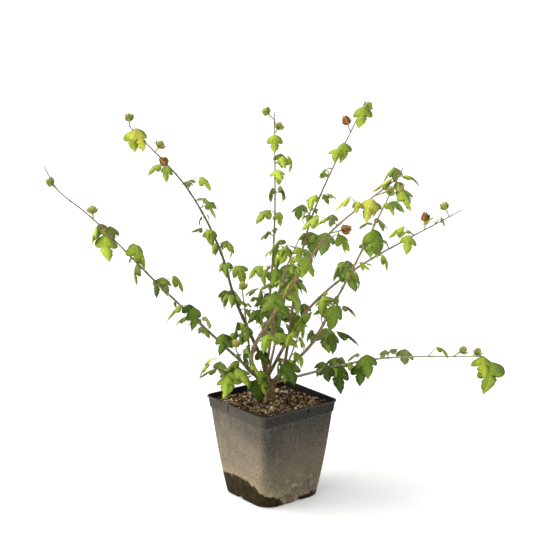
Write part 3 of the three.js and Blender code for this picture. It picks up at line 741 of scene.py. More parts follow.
def inner_half(z):
    low = wall_half(np.minimum(z, BAND_FOOT)) - WALL
    widening = RIM_HALF - LIP_PROUD - WALL - low
    return low + widening * np.clip((z - BAND_FOOT) / (POT_HEIGHT - BAND_FOOT), 0, 1)


def soft_box(value, half, blur):
    """1 within half of zero, falling to 0 over blur."""
    return np.clip((half + blur / 2 - np.abs(value)) / blur, 0, 1)


def pot_profile():
    """Height and half side of the skin's rings: the outer ones from the middle of the underside
    round the bevel, up the wall and the rim band and over the rolled lip, then the inner ones down
    to a disc under the mulch. Also returns how many are outer ones."""
    lip, rim = POT_HEIGHT - LIP_HEIGHT, RIM_HALF
    band, band_top = BAND_FOOT + BAND_ROUND, RIM_HALF - LIP_PROUD
    flat = FOOT_HALF - FOOT_BEVEL
    outer = [(0, 4), (0, 30), (0, flat - 1), (0, flat)]
    outer += [(z, wall_half(3) - FOOT_BEVEL * (1 - z / 3) ** 2) for z in (0.8, 1.8)]
    outer += [(z, wall_half(z)) for z in (*np.linspace(3, 8, 6), *np.linspace(12, BAND_FOOT, 30))]
    outer += [(BAND_FOOT + 0.4, BAND_HALF - 0.6), (band, BAND_HALF)]
    up_band = np.linspace(band + 1, lip, 16)
    outer += zip(up_band, np.interp(up_band, (band, lip), (BAND_HALF, band_top)))
    outer += [(lip + 0.3, rim - 0.6), (lip + 0.9, rim), (POT_HEIGHT - 0.9, rim)]
    outer += [(POT_HEIGHT - 0.3, rim - 0.4), (POT_HEIGHT, rim - 1.1)]
    inner = [(POT_HEIGHT, inner_half(POT_HEIGHT) + 0.6), (POT_HEIGHT - 0.6, inner_half(POT_HEIGHT))]
    inner += [(z, inner_half(z)) for z in (174, 168, 162, 156, POT_DISC)]
    inner += [(POT_DISC, 40), (POT_DISC, 4)]
    z, half = np.array(outer + inner, float).T
    return z, half, len(outer)


def pot_surface(columns=110):
    """The pot's closed skin. The profile is carried round a rounded square, and notches and drain
    slits are pushed in by soft boxes; a notch narrows downwards."""
    z, half, outer_count = pot_profile()
    is_outer = np.arange(len(z)) < outer_count
    corner = np.minimum(pot_corner(z) - np.where(is_outer, 0, WALL), half * 0.9)
    out, along, face = square_ring(half, corner, columns)
    side = np.where(face % 2 == 0, -1, 1)
    rows, on_wall, lip = z[:, None], is_outer[:, None], POT_HEIGHT - LIP_HEIGHT
    notch_half = NOTCH_WIDTH / 2 * np.clip((rows - lip) / NOTCH_HEIGHT + 1.15, 0.2, 1)
    notch = soft_box(along - side * NOTCH_ASIDE, notch_half, 1.2)
    notch = notch * soft_box(rows - (lip - NOTCH_HEIGHT / 2), NOTCH_HEIGHT / 2, 1.5)
    slit = soft_box(along - side * DRAIN_ASIDE, DRAIN_WIDTH / 2, 1.5) * (rows < DRAIN_HEIGHT)
    slit = slit * (half[:, None] > FOOT_HALF - FOOT_BEVEL - 2)
    notch, slit = notch * on_wall, slit * on_wall
    grid = turned(out - NOTCH_DEPTH * notch - DRAIN_DEPTH * slit, along, face, rows)
    vertices, faces = loft(grid)
    # painted shade: the notches, the drain slits and the whole inside get a mask that the material
    # paints near black
    shaded = np.where(on_wall, np.maximum(notch, slit), INSIDE_SHADE)
    return vertices, faces, np.concatenate((shaded.ravel(), (0, INSIDE_SHADE)))


def mulch_surface(columns=24):
    """The bed: rings that shrink from the pot's wall to its middle, raised to the mulch's height
    with crumbs of two crossed waves."""
    shrink = np.concatenate((np.ones(2), np.linspace(0.97, 0.03, 34)))
    edge = inner_half(np.array(MULCH_AT_TRUNK)) - GAP
    out, along, face = square_ring(edge * shrink, pot_corner(MULCH_AT_TRUNK) * shrink, columns)
    grid = turned(out, along, face, np.zeros((len(shrink), 1)))
    x, y = grid[..., 0], grid[..., 1]
    crumbs = CRUMB_HEIGHT * np.sin(0.9 * x + 0.5 * y) * np.sin(0.7 * y - 0.4 * x)
    grid[..., 2] = mulch_height(x, y) + crumbs
    grid[0, :, 2] = BAND_FOOT
    return loft(grid)


def chips(count, generator):
    """Small flat six-sided slabs, strewn over the bed at any turn and mostly lying down. Most are
    small: a chip's size goes with a high power of its draw."""
    edge = inner_half(np.array(MULCH_AT_TRUNK)) - CHIP_MARGIN
    a, b = generator.uniform(-edge, edge, (2, count))
    angle = math.radians(POT_TURN)
    x = a * math.cos(angle) - b * math.sin(angle)
    y = a * math.sin(angle) + b * math.cos(angle)
    reach = 0.25 + 0.75 * generator.random(count) ** 2.5
    size = np.stack((CHIP_LENGTH * reach, CHIP_WIDTH * reach, 0.8 + 2.2 * reach), -1)
    size = size * generator.uniform(0.7, 1.2, (count, 3))
    heading = generator.uniform(0, 360, count)
    rise = generator.normal(0, CHIP_RISE, count)
    roll = np.radians(generator.normal(0, CHIP_ROLL, count))[:, None]
    way = aim(heading, rise)
    level, above = aim(heading + 90, 0 * rise), aim(heading, rise + 90)
    across = np.cos(roll) * level + np.sin(roll) * above
    corners = np.array([(i, j, k) for k in (-1, 1) for j in (-1, 1) for i in (-1, 1)], float) / 2
    taper = 1 - CHIP_TAPER * generator.random((count, 8, 1))
    local = corners[None] * size[:, None] * taper
    axes = np.stack((way, across, np.cross(way, across)), 1)
    centre = np.stack((x, y, mulch_height(x, y) + 0.6 + 0.3 * size[:, 2]), -1)
    vertices = centre[:, None] + local @ axes
    keep = (np.abs(a) + size[:, 0] < edge + 3) & (np.abs(b) + size[:, 0] < edge + 3)
    straight = edge - RIM_CORNER - 1
    keep &= ~((np.abs(a) > straight) & (np.abs(b) > straight))
    keep &= np.hypot(x - TRUNK_FOOT[0], y - TRUNK_FOOT[1]) > TRUNK_FLARE_RADIUS
    return vertices[keep]


CHIP_FACES = np.array(
    ((0, 2, 3, 1), (4, 5, 7, 6), (0, 1, 5, 4), (2, 6, 7, 3), (0, 4, 6, 2), (1, 3, 7, 5))
)


# ---- Wood ----
def trunk_skin():
    """Trunk and three arms. The trunk's radius falls with the square of the height over its flare,
    times ridges 1 + 0.06 cos(5 angle) that twist slowly, and each arm tapers to its end."""
    at = np.linspace(-TRUNK_SUNK, TRUNK_FORK_HEIGHT, TRUNK_ROWS)
    flare = np.clip(1 - at / TRUNK_FLARE_HEIGHT, 0, 1) ** 2
    base = TRUNK_RADIUS + (TRUNK_FLARE_RADIUS - TRUNK_RADIUS) * flare
    rows = at[:, None]
    angle = np.linspace(0, 2 * np.pi, TRUNK_SIDES, endpoint=False)
    ridges = 0.06 * np.cos(5 * angle + rows / 20) + 0.03 * np.cos(11 * angle - rows / 7)
    upright, level = np.full(TRUNK_ROWS, 90.0), np.zeros(TRUNK_ROWS)
    rings = tube(TRUNK_FOOT + UP * rows, level, upright, base[:, None] * (1 + ridges), TRUNK_SIDES)
    parts = [loft(rings)]
    for name, arm in ARMS.items():
        low, high = arm["radius"]
        at = np.linspace(-4, arm["length"], ARM_ROWS)
        angle = np.linspace(0, 2 * np.pi, ARM_SIDES, endpoint=False)
        ridges = 1 + 0.05 * np.cos(4 * angle + at[:, None] / 15)
        radius = (low + (high - low) * np.clip(at / arm["length"], 0, 1))[:, None] * ridges
        points = arm_point(name, 0) + aim(arm["heading"], arm["rise"]) * at[:, None]
        heading, rise = (np.full(ARM_ROWS, float(arm[key])) for key in ("heading", "rise"))
        parts.append(loft(tube(points, heading, rise, radius, ARM_SIDES)))
    return join(parts)


def cane_skin(cane, seed):
    """A cane from inside its arm to its blunt tip. The radius tapers along the route, swells by a
    bell curve at each node and carries shallow ridges of two crossed waves."""
    route = Route(cane)
    at = np.linspace(0, route.length, max(8, int(route.length / CANE_ROW)))
    rows = at[:, None]
    angle = np.linspace(0, 2 * np.pi, CANE_SIDES, endpoint=False)
    offset = (at - bare_end(cane) - FIRST_NODE + cane["spacing"] / 2) % cane["spacing"]
    bells = np.exp(-(((offset - cane["spacing"] / 2) / NODE_SWELL_WIDTH) ** 2))
    bells = bells * (at > bare_end(cane))
    ridges = 0.05 * np.sin(3 * angle + rows / 14 + seed)
    ridges = ridges + 0.04 * np.sin(5 * angle - rows / 6 + 2 * seed)
    taper = 1 - CANE_THINNING * rows / route.length
    radius = route.radius(at)[:, None] * taper * (1 + NODE_SWELL * bells[:, None] + ridges)
    heading, rise = route.way(at)
    return loft(tube(route.point(at), heading, rise, radius, CANE_SIDES))


# ---- Materials ----
# A coat of patches: the scale of its noise, the noise values between which a patch fades in, and
# how strongly its colour covers what is below.
Coat = namedtuple("Coat", "scale low high strength", defaults=(1,))

DULL_GLOSS = 0.14  # specular level of bark, leaves, capsules, mulch and floor
POT_GLOSS = 0.05
BUMP_STRENGTH = 0.7
MOTTLE_DETAIL = 5

# The pot's dust, from dusty at DUST_FOOT to clean at DUST_REACH above it.
DUST_FOOT = 30
DUST_REACH = 0.7 * POT_HEIGHT
DUST = Coat(22, 0.35, 0.7, 0.22)
STREAKS = Coat(160, 0.5, 0.72, 0.18)
STREAK_DRAW = 0.08  # patches are drawn out upwards by one over this
SPECKS = Coat(900, 0.48, 0.6, 0.28)
SPECK_COLOUR = (0.46, 0.42, 0.34)
PITS = Coat(700, 0.5, 0.6, 0.62)
PIT_COLOUR = (0.03, 0.027, 0.022)
# Dust film and painted light on the left, painted shade on the right above; they meet at a corner.
FILM_AND_LIGHT = Coat(48, 0.3, 0.75, 0.42)
FILM_AND_LIGHT_SPAN = 95  # from the pot's middle to the full film and light
FILM_AND_LIGHT_TURN = 0.8  # how far the side of the film and light is turned to the front
# between these two places along x, the left side's film and light end and the painted shade of the
# right side begins
SHADE_EDGE = (-18, -6)
FILM_AND_LIGHT_LEAST = 0.6  # the film and light between its patches
FILM_AND_LIGHT_HEIGHT = 1.35  # less the dust's height gives the strength of the film and light
FILM_AND_LIGHT_MOST = 0.85  # that strength's upper limit
# how strongly the right side is darkened above, as painted shade
SHADED_SIDE_STRENGTH = 0.85
# The rim band is dark, less so on the left side as painted light, and the lip is worn paler.
BAND_DARK = 0.62
BAND_LIT_SIDE = 0.25  # what the left side takes off BAND_DARK, as painted light
LIP_WEAR = 0.5
LIP_COLOUR = (0.09, 0.088, 0.08)
# painted shade, laid near black on the notches, the drain slits and the pot's inside
PAINTED_SHADE_COLOUR = (0.008, 0.007, 0.006)
# The stain with its ragged edge, the crumbs above it, and the worn lee side of the foot.
STAIN = Coat(90, 0.4, 0.65, 0.97)
STAIN_DEEP = (0.01, 0.0065, 0.003)
STAIN_RAGGED = 0.42  # how far the edge strays, as a share of STAIN_TOP
STAIN_SOFT = 0.08  # depth at which the stain is full, as a share of STAIN_TOP
CRUMBS = Coat(260, 0.4, 0.62, 0.5)
FRINGE_SPAN = 0.28  # how far above the stain crumbs lie, as a share of STAIN_TOP
WORN = Coat(42, 0.45, 0.55, 0.6)
WORN_COLOUR = (0.06, 0.057, 0.052)
WORN_HEIGHTS = (58, 30)  # where the wear starts and where it is full
WORN_SPAN = 30  # from the pot's middle to full wear, to the lee side
FLAKES = Coat(75, 0.55, 0.6, 0.75)
FLAKE_GRAIN = Coat(420, 0.4, 0.55)

BARK_RIDGES = Coat(420, 0.38, 0.62)
RIDGE_DRAW = 0.3
CORK = Coat(900, 0.6, 0.68, 0.25)
CORK_COLOUR = (0.5, 0.43, 0.32)

LEAF_PATCHES = Coat(35, 0.38, 0.62)
VEIN_PALER = 1.5
VEIN_SLANT = 0.95
VEIN_SPACING = 0.08
VEIN_WIDTH = 0.008
VEIN_STRENGTH = 0.6  # a side vein against the midrib
MIDRIB_WIDTH = 0.013


def put(tree, kind, values=None, **settings):
    """A node with its settings, whose inputs are given as plain values or as sockets to link."""
    node = tree.nodes.new(kind)
    for key, value in settings.items():
        setattr(node, key, value)
    for key, value in (values or {}).items():
        if isinstance(value, bpy.types.NodeSocket):
            tree.links.new(value, node.inputs[key])
        else:
            node.inputs[key].default_value = value
    return node


def blend_colour(tree, factor, first, second):
    """A mix of two colours by a factor."""
    ends = [
        colour if isinstance(colour, bpy.types.NodeSocket) else (*tuple(colour)[:3], 1)
        for colour in (first, second)
    ]
    values = {0: factor, 6: ends[0], 7: ends[1]}
    return put(tree, "ShaderNodeMix", values, data_type="RGBA").outputs[2]


def calculate(tree, operation, *values):
    return put(tree, "ShaderNodeMath", dict(enumerate(values)), operation=operation).outputs[0]


def new_group(name, inputs, outputs):
    """An empty shader group with float or vector inputs and float outputs."""
    tree = bpy.data.node_groups.new(name, "ShaderNodeTree")
    for label, kind, value in inputs:
        socket = tree.interface.new_socket(label, in_out="INPUT", socket_type=kind)
        if value is not None:
            socket.default_value = value
    for label in outputs:
        tree.interface.new_socket(label, in_out="OUTPUT", socket_type="NodeSocketFloat")
    return tree, tree.nodes.new("NodeGroupInput").outputs, tree.nodes.new("NodeGroupOutput").inputs


def mottle_group():
    """Soft patches: noise whose values between Low and High spread over 0 to 1."""
    if "Mottle" in bpy.data.node_groups:
        return bpy.data.node_groups["Mottle"]
    inputs = (
        ("Vector", "NodeSocketVector", None),
        ("Scale", "NodeSocketFloat", 40),
        ("Low", "NodeSocketFloat", 0.4),
        ("High", "NodeSocketFloat", 0.6),
    )
    tree, given, result = new_group("Mottle", inputs, ("Mask",))
    values = {"Vector": given["Vector"], "Scale": given["Scale"], "Detail": MOTTLE_DETAIL}
    noise = put(tree, "ShaderNodeTexNoise", values).outputs["Fac"]
    values = {"Value": noise, "From Min": given["Low"], "From Max": given["High"]}
    tree.links.new(put(tree, "ShaderNodeMapRange", values).outputs[0], result["Mask"])
    return tree


def vein_group():
    """A leaf's veins from its own map: the midrib and side veins that leave it at a slant."""
    if "Leaf veins" in bpy.data.node_groups:
        return bpy.data.node_groups["Leaf veins"]
    inputs = (("Vector", "NodeSocketVector", None),)
    tree, given, result = new_group("Leaf veins", inputs, ("Mask",))
    split = put(tree, "ShaderNodeSeparateXYZ", {"Vector": given["Vector"]})
    side = calculate(tree, "ABSOLUTE", calculate(tree, "SUBTRACT", split.outputs[1], 0.5))
    drop = calculate(tree, "MULTIPLY", side, VEIN_SLANT)
    wave = calculate(tree, "SUBTRACT", split.outputs[0], drop)
    wave = calculate(tree, "PINGPONG", wave, VEIN_SPACING)
    lateral = calculate(tree, "LESS_THAN", wave, VEIN_WIDTH)
    midrib = calculate(tree, "LESS_THAN", side, MIDRIB_WIDTH)
    faint = calculate(tree, "MULTIPLY", lateral, VEIN_STRENGTH)
    tree.links.new(calculate(tree, "MAXIMUM", midrib, faint), result["Mask"])
    return tree


class Finish:
    """A material in the making. It starts from a base colour, and each coat goes over the last."""

    def __init__(self, name, base, roughness, gloss=DULL_GLOSS):
        self.material = bpy.data.materials.new(name)
        self.material.use_nodes = True
        self.tree = self.material.node_tree
        self.shader = self.tree.nodes["Principled BSDF"]
        self.shader.inputs["Roughness"].default_value = roughness
        self.shader.inputs["Specular IOR Level"].default_value = gloss
        coordinates = self.tree.nodes.new("ShaderNodeTexCoord").outputs
        self.place, self.chart = coordinates["Object"], coordinates["UV"]
        self.colour = base

    def plus(self, first, second):
        return calculate(self.tree, "ADD", first, second)

    def minus(self, first, second):
        return calculate(self.tree, "SUBTRACT", first, second)

    def over(self, value, whole):
        return calculate(self.tree, "DIVIDE", value, whole)

    def times(self, *factors):
        """The product of the factors."""
        product = factors[0]
        for factor in factors[1:]:
            product = calculate(self.tree, "MULTIPLY", product, factor)
        return product

    def above(self, value, limit):
        """1 above the limit and 0 below it."""
        return calculate(self.tree, "GREATER_THAN", value, limit)

    def clamp(self, value):
        return put(self.tree, "ShaderNodeClamp", {"Value": value}).outputs[0]

    def ramp(self, value, start, end):
        """0 at start, 1 at end, even between them and held beyond."""
        values = {"Value": value, "From Min": start, "From Max": end}
        return put(self.tree, "ShaderNodeMapRange", values).outputs[0]

    def sway(self, scale, detail, reach):
        """Noise that sways to both sides of zero, by reach from end to end."""
        values = {"Vector": self.place, "Scale": scale, "Detail": detail}
        noise = put(self.tree, "ShaderNodeTexNoise", values).outputs["Fac"]
        return self.times(self.minus(noise, 0.5), reach)

    def patches(self, coat, drawn_out=1):
        """The mask of a coat's patches, which are drawn out upwards where drawn_out is below 1."""
        place = self.place
        if drawn_out != 1:
            values = {"Vector": place, "Scale": (1, 1, drawn_out)}
            place = put(self.tree, "ShaderNodeMapping", values).outputs[0]
        values = {"Vector": place, "Scale": coat.scale, "Low": coat.low, "High": coat.high}
        return put(self.tree, "ShaderNodeGroup", values, node_tree=mottle_group()).outputs["Mask"]

    def paint(self, colour, *factors):
        """Lays a colour over what is there, by the product of the factors."""
        self.colour = blend_colour(self.tree, self.times(*factors), self.colour, colour)

    def done(self, height, depth):
        """The material, with bumps as high as depth where height is 1."""
        self.tree.links.new(self.colour, self.shader.inputs["Base Color"])
        values = {"Height": height, "Distance": depth * MM, "Strength": BUMP_STRENGTH}
        bump = put(self.tree, "ShaderNodeBump", values)
        self.tree.links.new(bump.outputs[0], self.shader.inputs["Normal"])
        return self.material


def pot_material(settings):
    """Dusty dark plastic, speckled and pitted, with a wet stain round its foot."""
    # Besides dust and stains, this paints light on the left side, shade on the right side, and
    # shade in the notches, drain slits and inside.
    pot = Finish("pot plastic", settings.pot_low, 0.7, POT_GLOSS)
    x, y, z = put(pot.tree, "ShaderNodeSeparateXYZ", {"Vector": pot.place}).outputs
    film_and_light = paint_dust(pot, settings, x, y, z)
    specks = pot.patches(SPECKS)
    pot.paint(settings.pot_dust, pot.patches(STREAKS, STREAK_DRAW), STREAKS.strength)
    pot.paint(SPECK_COLOUR, specks, SPECKS.strength)
    pot.paint(PIT_COLOUR, pot.patches(PITS), PITS.strength)
    band = pot.above(z, (BAND_FOOT + 0.5) * MM)
    # the band is painted less dark on the left side, as painted light
    pot.paint(settings.pot_band, band, pot.minus(BAND_DARK, pot.times(film_and_light, BAND_LIT_SIDE)))
    pot.paint(LIP_COLOUR, pot.above(z, (POT_HEIGHT - LIP_HEIGHT + 0.4) * MM), LIP_WEAR)
    paint_foot(pot, settings, x, y, z)
    # painted shade in the notches, the drain slits and the inside
    cut = put(pot.tree, "ShaderNodeAttribute", attribute_name="cut").outputs["Fac"]
    pot.paint(PAINTED_SHADE_COLOUR, cut)
    return pot.done(specks, 0.2)


def paint_dust(pot, settings, x, y, z):
    """Dust that thins upwards, loose patches of it, and a film of dust on the left side that also
    stands in for painted light from the left. The film ends at the front corner, past which the
    right side is darkened above as painted shade. Returns how near a place is to the left side."""
    height = pot.over(pot.minus(z, DUST_FOOT * MM), DUST_REACH * MM)
    height = pot.clamp(pot.plus(height, pot.sway(14, 3, 0.7)))
    pot.paint(settings.pot_high_and_shade, height)
    pot.paint(settings.pot_dust, pot.patches(DUST), DUST.strength)
    # the left side, which the film of dust and the painted light cover
    lit_side = pot.clamp(pot.over(pot.plus(x, pot.times(y, FILM_AND_LIGHT_TURN)), -FILM_AND_LIGHT_SPAN * MM))
    # the right side past the front corner, which gets painted shade
    shaded_side = pot.ramp(x, *(place * MM for place in SHADE_EDGE))
    lit_side = pot.times(lit_side, pot.minus(1, shaded_side))
    film_and_light = pot.times(pot.plus(pot.patches(FILM_AND_LIGHT), FILM_AND_LIGHT_LEAST), lit_side)
    low_down = calculate(pot.tree, "MINIMUM", pot.minus(FILM_AND_LIGHT_HEIGHT, height), FILM_AND_LIGHT_MOST)
    # the film of dust on the left side, which also stands in for painted light from the left
    pot.paint(settings.pot_film_and_light, film_and_light, low_down, FILM_AND_LIGHT.strength)
    # painted shade: the right side above is darkened to the bare plastic's colour
    pot.paint(settings.pot_high_and_shade, shaded_side, height, SHADED_SIDE_STRENGTH)
    return lit_side


def stain_depth(pot, x, y, z):
    """How far a place lies below the stain's ragged upper edge, as a share of STAIN_TOP. The edge
    follows STAIN_HEIGHTS round the pot, in a colour ramp's grey."""
    turn = pot.over(calculate(pot.tree, "ARCTAN2", y, x), 2 * math.pi)
    ramp = put(pot.tree, "ShaderNodeValToRGB", {"Fac": pot.plus(turn, 0.5)})
    stops = ramp.color_ramp.elements
    for heading, top in STAIN_HEIGHTS:
        spot = (heading + 180) / 360
        is_end = spot in (0, 1)
        stop = stops[-int(spot)] if is_end else stops.new(spot)
        stop.color = (*(top / STAIN_TOP,) * 3, 1)
    top = pot.plus(ramp.outputs[0], pot.sway(110, 9, STAIN_RAGGED))
    return pot.minus(top, pot.over(z, STAIN_TOP * MM))


def paint_foot(pot, settings, x, y, z):
    """Worn patches and pale flakes on the lee side of the foot, crumbs that thicken towards the
    stain's edge, and the wet stain itself."""
    low = pot.ramp(z, *(place * MM for place in WORN_HEIGHTS))
    worn = pot.times(low, pot.ramp(x, 0, WORN_SPAN * MM))
    pot.paint(WORN_COLOUR, worn, pot.patches(WORN), WORN.strength)
    flakes = pot.times(worn, pot.patches(FLAKES), pot.patches(FLAKE_GRAIN))
    pot.paint(settings.pot_crust, flakes, FLAKES.strength)
    depth = stain_depth(pot, x, y, z)
    fringe = pot.ramp(depth, -FRINGE_SPAN, 0)
    pot.paint(settings.pot_crust, fringe, pot.patches(CRUMBS), CRUMBS.strength)
    stain = blend_colour(pot.tree, pot.patches(STAIN), settings.pot_stain, STAIN_DEEP)
    pot.paint(stain, pot.ramp(depth, 0, STAIN_SOFT), STAIN.strength)


def mottled_material(name, first, second, roughness, scale, fine):
    """Two colours in soft patches, with a fine bump."""
    finish = Finish(name, first, roughness)
    finish.paint(second, finish.patches(Coat(scale, 0.4, 0.62)))
    return finish.done(finish.patches(Coat(fine, 0.3, 0.7)), 0.5)


def bark_material(name, colour, ground):
    """Ridged bark: long patches drawn out upwards, with paler corky specks."""
    bark = Finish(name, ground, 0.85)
    ridges = bark.patches(BARK_RIDGES, RIDGE_DRAW)
    bark.paint(colour, ridges)
    bark.paint(CORK_COLOUR, bark.patches(CORK), CORK.strength)
    return bark.done(ridges, 0.6)


def leaf_material(name, colour, darker):
    """A leaf's blade: patches of two greens and paler veins that stand out a little."""
    leaf = Finish(name, darker, 0.55)
    values = {"Vector": leaf.chart}
    veins = put(leaf.tree, "ShaderNodeGroup", values, node_tree=vein_group()).outputs["Mask"]
    leaf.paint(colour, leaf.patches(LEAF_PATCHES))
    paler = [min(1, VEIN_PALER * c + 0.03) for c in tuple(colour)[:3]]
    leaf.paint(paler, veins, 0.5)
    return leaf.done(veins, 0.2)


# ---- Settings ----
def colour_property(name, description, default):
    return FloatVectorProperty(
        name=name, description=description, default=default, subtype="COLOR", min=0, max=1
    )


class PotSettings(bpy.types.PropertyGroup):
    """Colours of the pot and its filling."""

    # the upper wall's plastic, also laid on the right side above as painted shade
    pot_high_and_shade: colour_property("Upper wall", "Plastic under the rim band", (0.032, 0.031, 0.028))
    pot_low: colour_property("Lower wall", "Dust-paled plastic near the foot", (0.26, 0.2, 0.115))
    pot_band: colour_property("Rim band", "Dark plastic of the rim band", (0.022, 0.021, 0.019))
    pot_dust: colour_property("Dust", "Dust that lies in patches and streaks", (0.27, 0.24, 0.19))
    # dust film that also stands in for painted light on the left side
    pot_film_and_light: colour_property("Dust film", "Film of dust on the side it blew on", (0.37, 0.3, 0.2))
    pot_stain: colour_property("Stain", "Wet olive-brown stain at the foot", (0.034, 0.022, 0.005))
    pot_crust: colour_property("Crust", "Pale crumbs along the stain's edge", (0.46, 0.38, 0.22))
    chip_count: IntProperty(
        name="Chips", description="Bark chips strewn on the bed", default=CHIPS, min=0
    )


class PlantSettings(bpy.types.PropertyGroup):
    """Colours of the wood, leaves and capsules."""

    bark: colour_property("Bark", "Tan bark of most canes", (0.36, 0.26, 0.155))
    bark_dark: colour_property("Dark bark", "Olive-brown bark of the trunk", (0.35, 0.26, 0.1))
    twig: colour_property("Twigs", "Young green-brown shoots and leaf stalks", (0.28, 0.26, 0.1))
    leaf_dark: colour_property("Dark leaves", "Oldest leaves near the trunk", (0.085, 0.145, 0.012))
    leaf_mid: colour_property("Mid leaves", "Leaves of the middle of a cane", (0.19, 0.29, 0.026))
    leaf_fresh: colour_property("Fresh leaves", "Leaves in full light", (0.34, 0.47, 0.045))
    leaf_lime: colour_property("Lime leaves", "Leaves that turn at the tips", (0.5, 0.63, 0.055))
    leaf_yellow: colour_property("Yellow leaves", "Leaves in autumn colour", (0.76, 0.78, 0.1))
    leaf_under: colour_property("Undersides", "The leaves' paler undersides", (0.26, 0.37, 0.08))
    capsule: colour_property("Capsules", "Green seed capsules", (0.5, 0.54, 0.14))
    capsule_dry: colour_property("Dry capsules", "Opened brown capsules", (0.6, 0.31, 0.09))


class StageSettings(bpy.types.PropertyGroup):
    """Camera and light."""

    distance: FloatProperty(
        name="Distance", description="Camera to the pot's middle plane", default=2.69,
        unit="LENGTH",
    )
    height: FloatProperty(
        name="Height", description="Camera above the floor", default=1.068, unit="LENGTH"
    )
    aside: FloatProperty(
        name="Aside", description="Camera to the right of the pot", default=0.0088, unit="LENGTH"
    )
    pitch: FloatProperty(
        name="Pitch", description="Camera's tilt below the level",
        default=math.radians(14), unit="ROTATION",
    )
    lens: FloatProperty(name="Lens", description="Focal length in mm", default=104.16)
    ambient: FloatProperty(name="Ambient", description="Light from all round", default=0.6)
    top: FloatProperty(name="Top", description="Strength of the broad lamp above", default=0.9)
    side: FloatProperty(
        name="Side", description="Strength of the low lamp on the left", default=2.3
    )


# ---- Operators ----
FOLIAGE_NODES = ["foliage_" + cane["name"] for cane in CANES]


class SHRUB_OT_pot(bpy.types.Operator):
    """Builds the moulded pot with its band, lip, notches, drain slits and stain"""

    bl_idname = "shrub.pot"
    bl_label = "Build pot"

    def execute(self, context):
        vertices, faces, cut = pot_surface()
        plastic = pot_material(context.scene.shrub_pot)
        piece = make_object("pot_shell", vertices, faces, [plastic], cut=cut)
        declare(piece, "pot", "pot")
        return {"FINISHED"}


class SHRUB_OT_mulch(bpy.types.Operator):
    """Builds the bed of bark mulch and strews its chips in four tints"""

    bl_idname = "shrub.mulch"
    bl_label = "Build mulch"

    def execute(self, context):
        soil = mottled_material("mulch bed", *SOIL_COLOURS, 0.95, 120, 500)
        bed = make_object("mulch_bed", *mulch_surface(), [soil])
        declare(bed, "mulch", "mulch")
        generator = np.random.default_rng(CHIP_SEED)
        slabs = chips(context.scene.shrub_pot.chip_count, generator)
        tints = generator.choice(len(CHIP_TINTS), len(slabs), p=CHIP_SHARES)
        for index, (name, colour) in enumerate(CHIP_TINTS.items()):
            chosen = slabs[tints == index]
            faces = CHIP_FACES[None] + 8 * np.arange(len(chosen))[:, None, None]
            darker = [0.5 * c for c in colour]
            finish = mottled_material("chip " + name, darker, colour, 0.9, 180, 900)
            piece = make_object(
                "chips_" + name, chosen.reshape(-1, 3), faces.reshape(-1, 4), [finish], smooth=False
            )
            declare(piece, "mulch", "mulch")
        return {"FINISHED"}


class SHRUB_OT_wood(bpy.types.Operator):
    """Builds the ridged trunk with its arms, and one tapering cane for each cane of the table"""

    bl_idname = "shrub.wood"
    bl_label = "Build trunk and canes"

    def execute(self, context):
        plant = context.scene.shrub_plant
        dark = bark_material("trunk bark", plant.bark_dark, (0.11, 0.08, 0.028))
        barks = {
            "tan": bark_material("cane bark", plant.bark, (0.19, 0.13, 0.07)),
            "pale": bark_material("pale cane bark", (0.5, 0.45, 0.32), (0.27, 0.23, 0.14)),
            "brown": bark_material("brown cane bark", (0.2, 0.16, 0.08), (0.08, 0.06, 0.025)),
        }
        trunk = make_object("trunk_bark", *trunk_skin(), [dark])
        declare(trunk, "bark", "trunk")
        for index, cane in enumerate(CANES):
            name = cane["name"]
            bark = barks[CANE_BARKS.get(name, "tan")]
            skin = make_object("cane_" + name, *cane_skin(cane, index + 1), [bark])
            nodes = ["foliage_" + name]
            nodes += ["bough_" + name] if cane["bough"] else []
            declare(skin, "bark", *nodes)
        return {"FINISHED"}


class SHRUB_OT_twigs(bpy.types.Operator):
    """Builds the short spurs, the leaf stalks and the capsules' stalks"""

    bl_idname = "shrub.twigs"
    bl_label = "Build twigs"

    def execute(self, context):
        spurs, leaves, capsules = grow_shrub()
        plant = context.scene.shrub_plant
        woody = bark_material("spur bark", plant.bark, (0.16, 0.12, 0.07))
        piece = make_object("spurs", *join([straight_tube(*spur) for spur in spurs]), [woody])
        declare(piece, "bark", *FOLIAGE_NODES)
        stalks = [
            straight_tube(
                leaf["root"], leaf["heading"], leaf["lift"], leaf["stalk"] + 0.5, *STALK_RADII,
                sides=4,
            )
            for leaf in leaves
        ]
        stalks += [
            straight_tube(*capsule[:4], *CAPSULE_STALK_RADII, sides=6) for capsule in capsules
        ]
        green = mottled_material("leaf stalk", plant.twig, (0.4, 0.4, 0.14), 0.6, 60, 300)
        piece = make_object("leaf_stalks", *join(stalks), [green])
        declare(piece, "foliage", *FOLIAGE_NODES)
        return {"FINISHED"}


class SHRUB_OT_leaves(bpy.types.Operator):
    """Builds every leaf as a closed lobed blade, joined by tint: dark inside, yellow at the tips"""

    bl_idname = "shrub.leaves"
    bl_label = "Build leaves"

    def execute(self, context):
        leaves = grow_shrub()[1]
        plant = context.scene.shrub_plant
        under = plant.leaf_under
        pale = mottled_material("leaf underside", [0.8 * c for c in under], under, 0.7, 40, 400)
        for name in LEAF_TINTS:
            chosen = [leaf for leaf in leaves if leaf["tint"] == name]
            if not chosen:
                raise RuntimeError("no leaf was dealt the tint " + name)
            colour = getattr(plant, "leaf_" + name)
            blade = leaf_material("leaf " + name, colour, [0.62 * c for c in colour])
            vertices, faces, uv, below = leaf_plates(chosen)
            piece = make_object(
                "leaves_" + name, vertices, faces, [blade, pale], uv=uv, second=below
            )
            declare(piece, "foliage", *FOLIAGE_NODES)
        return {"FINISHED"}


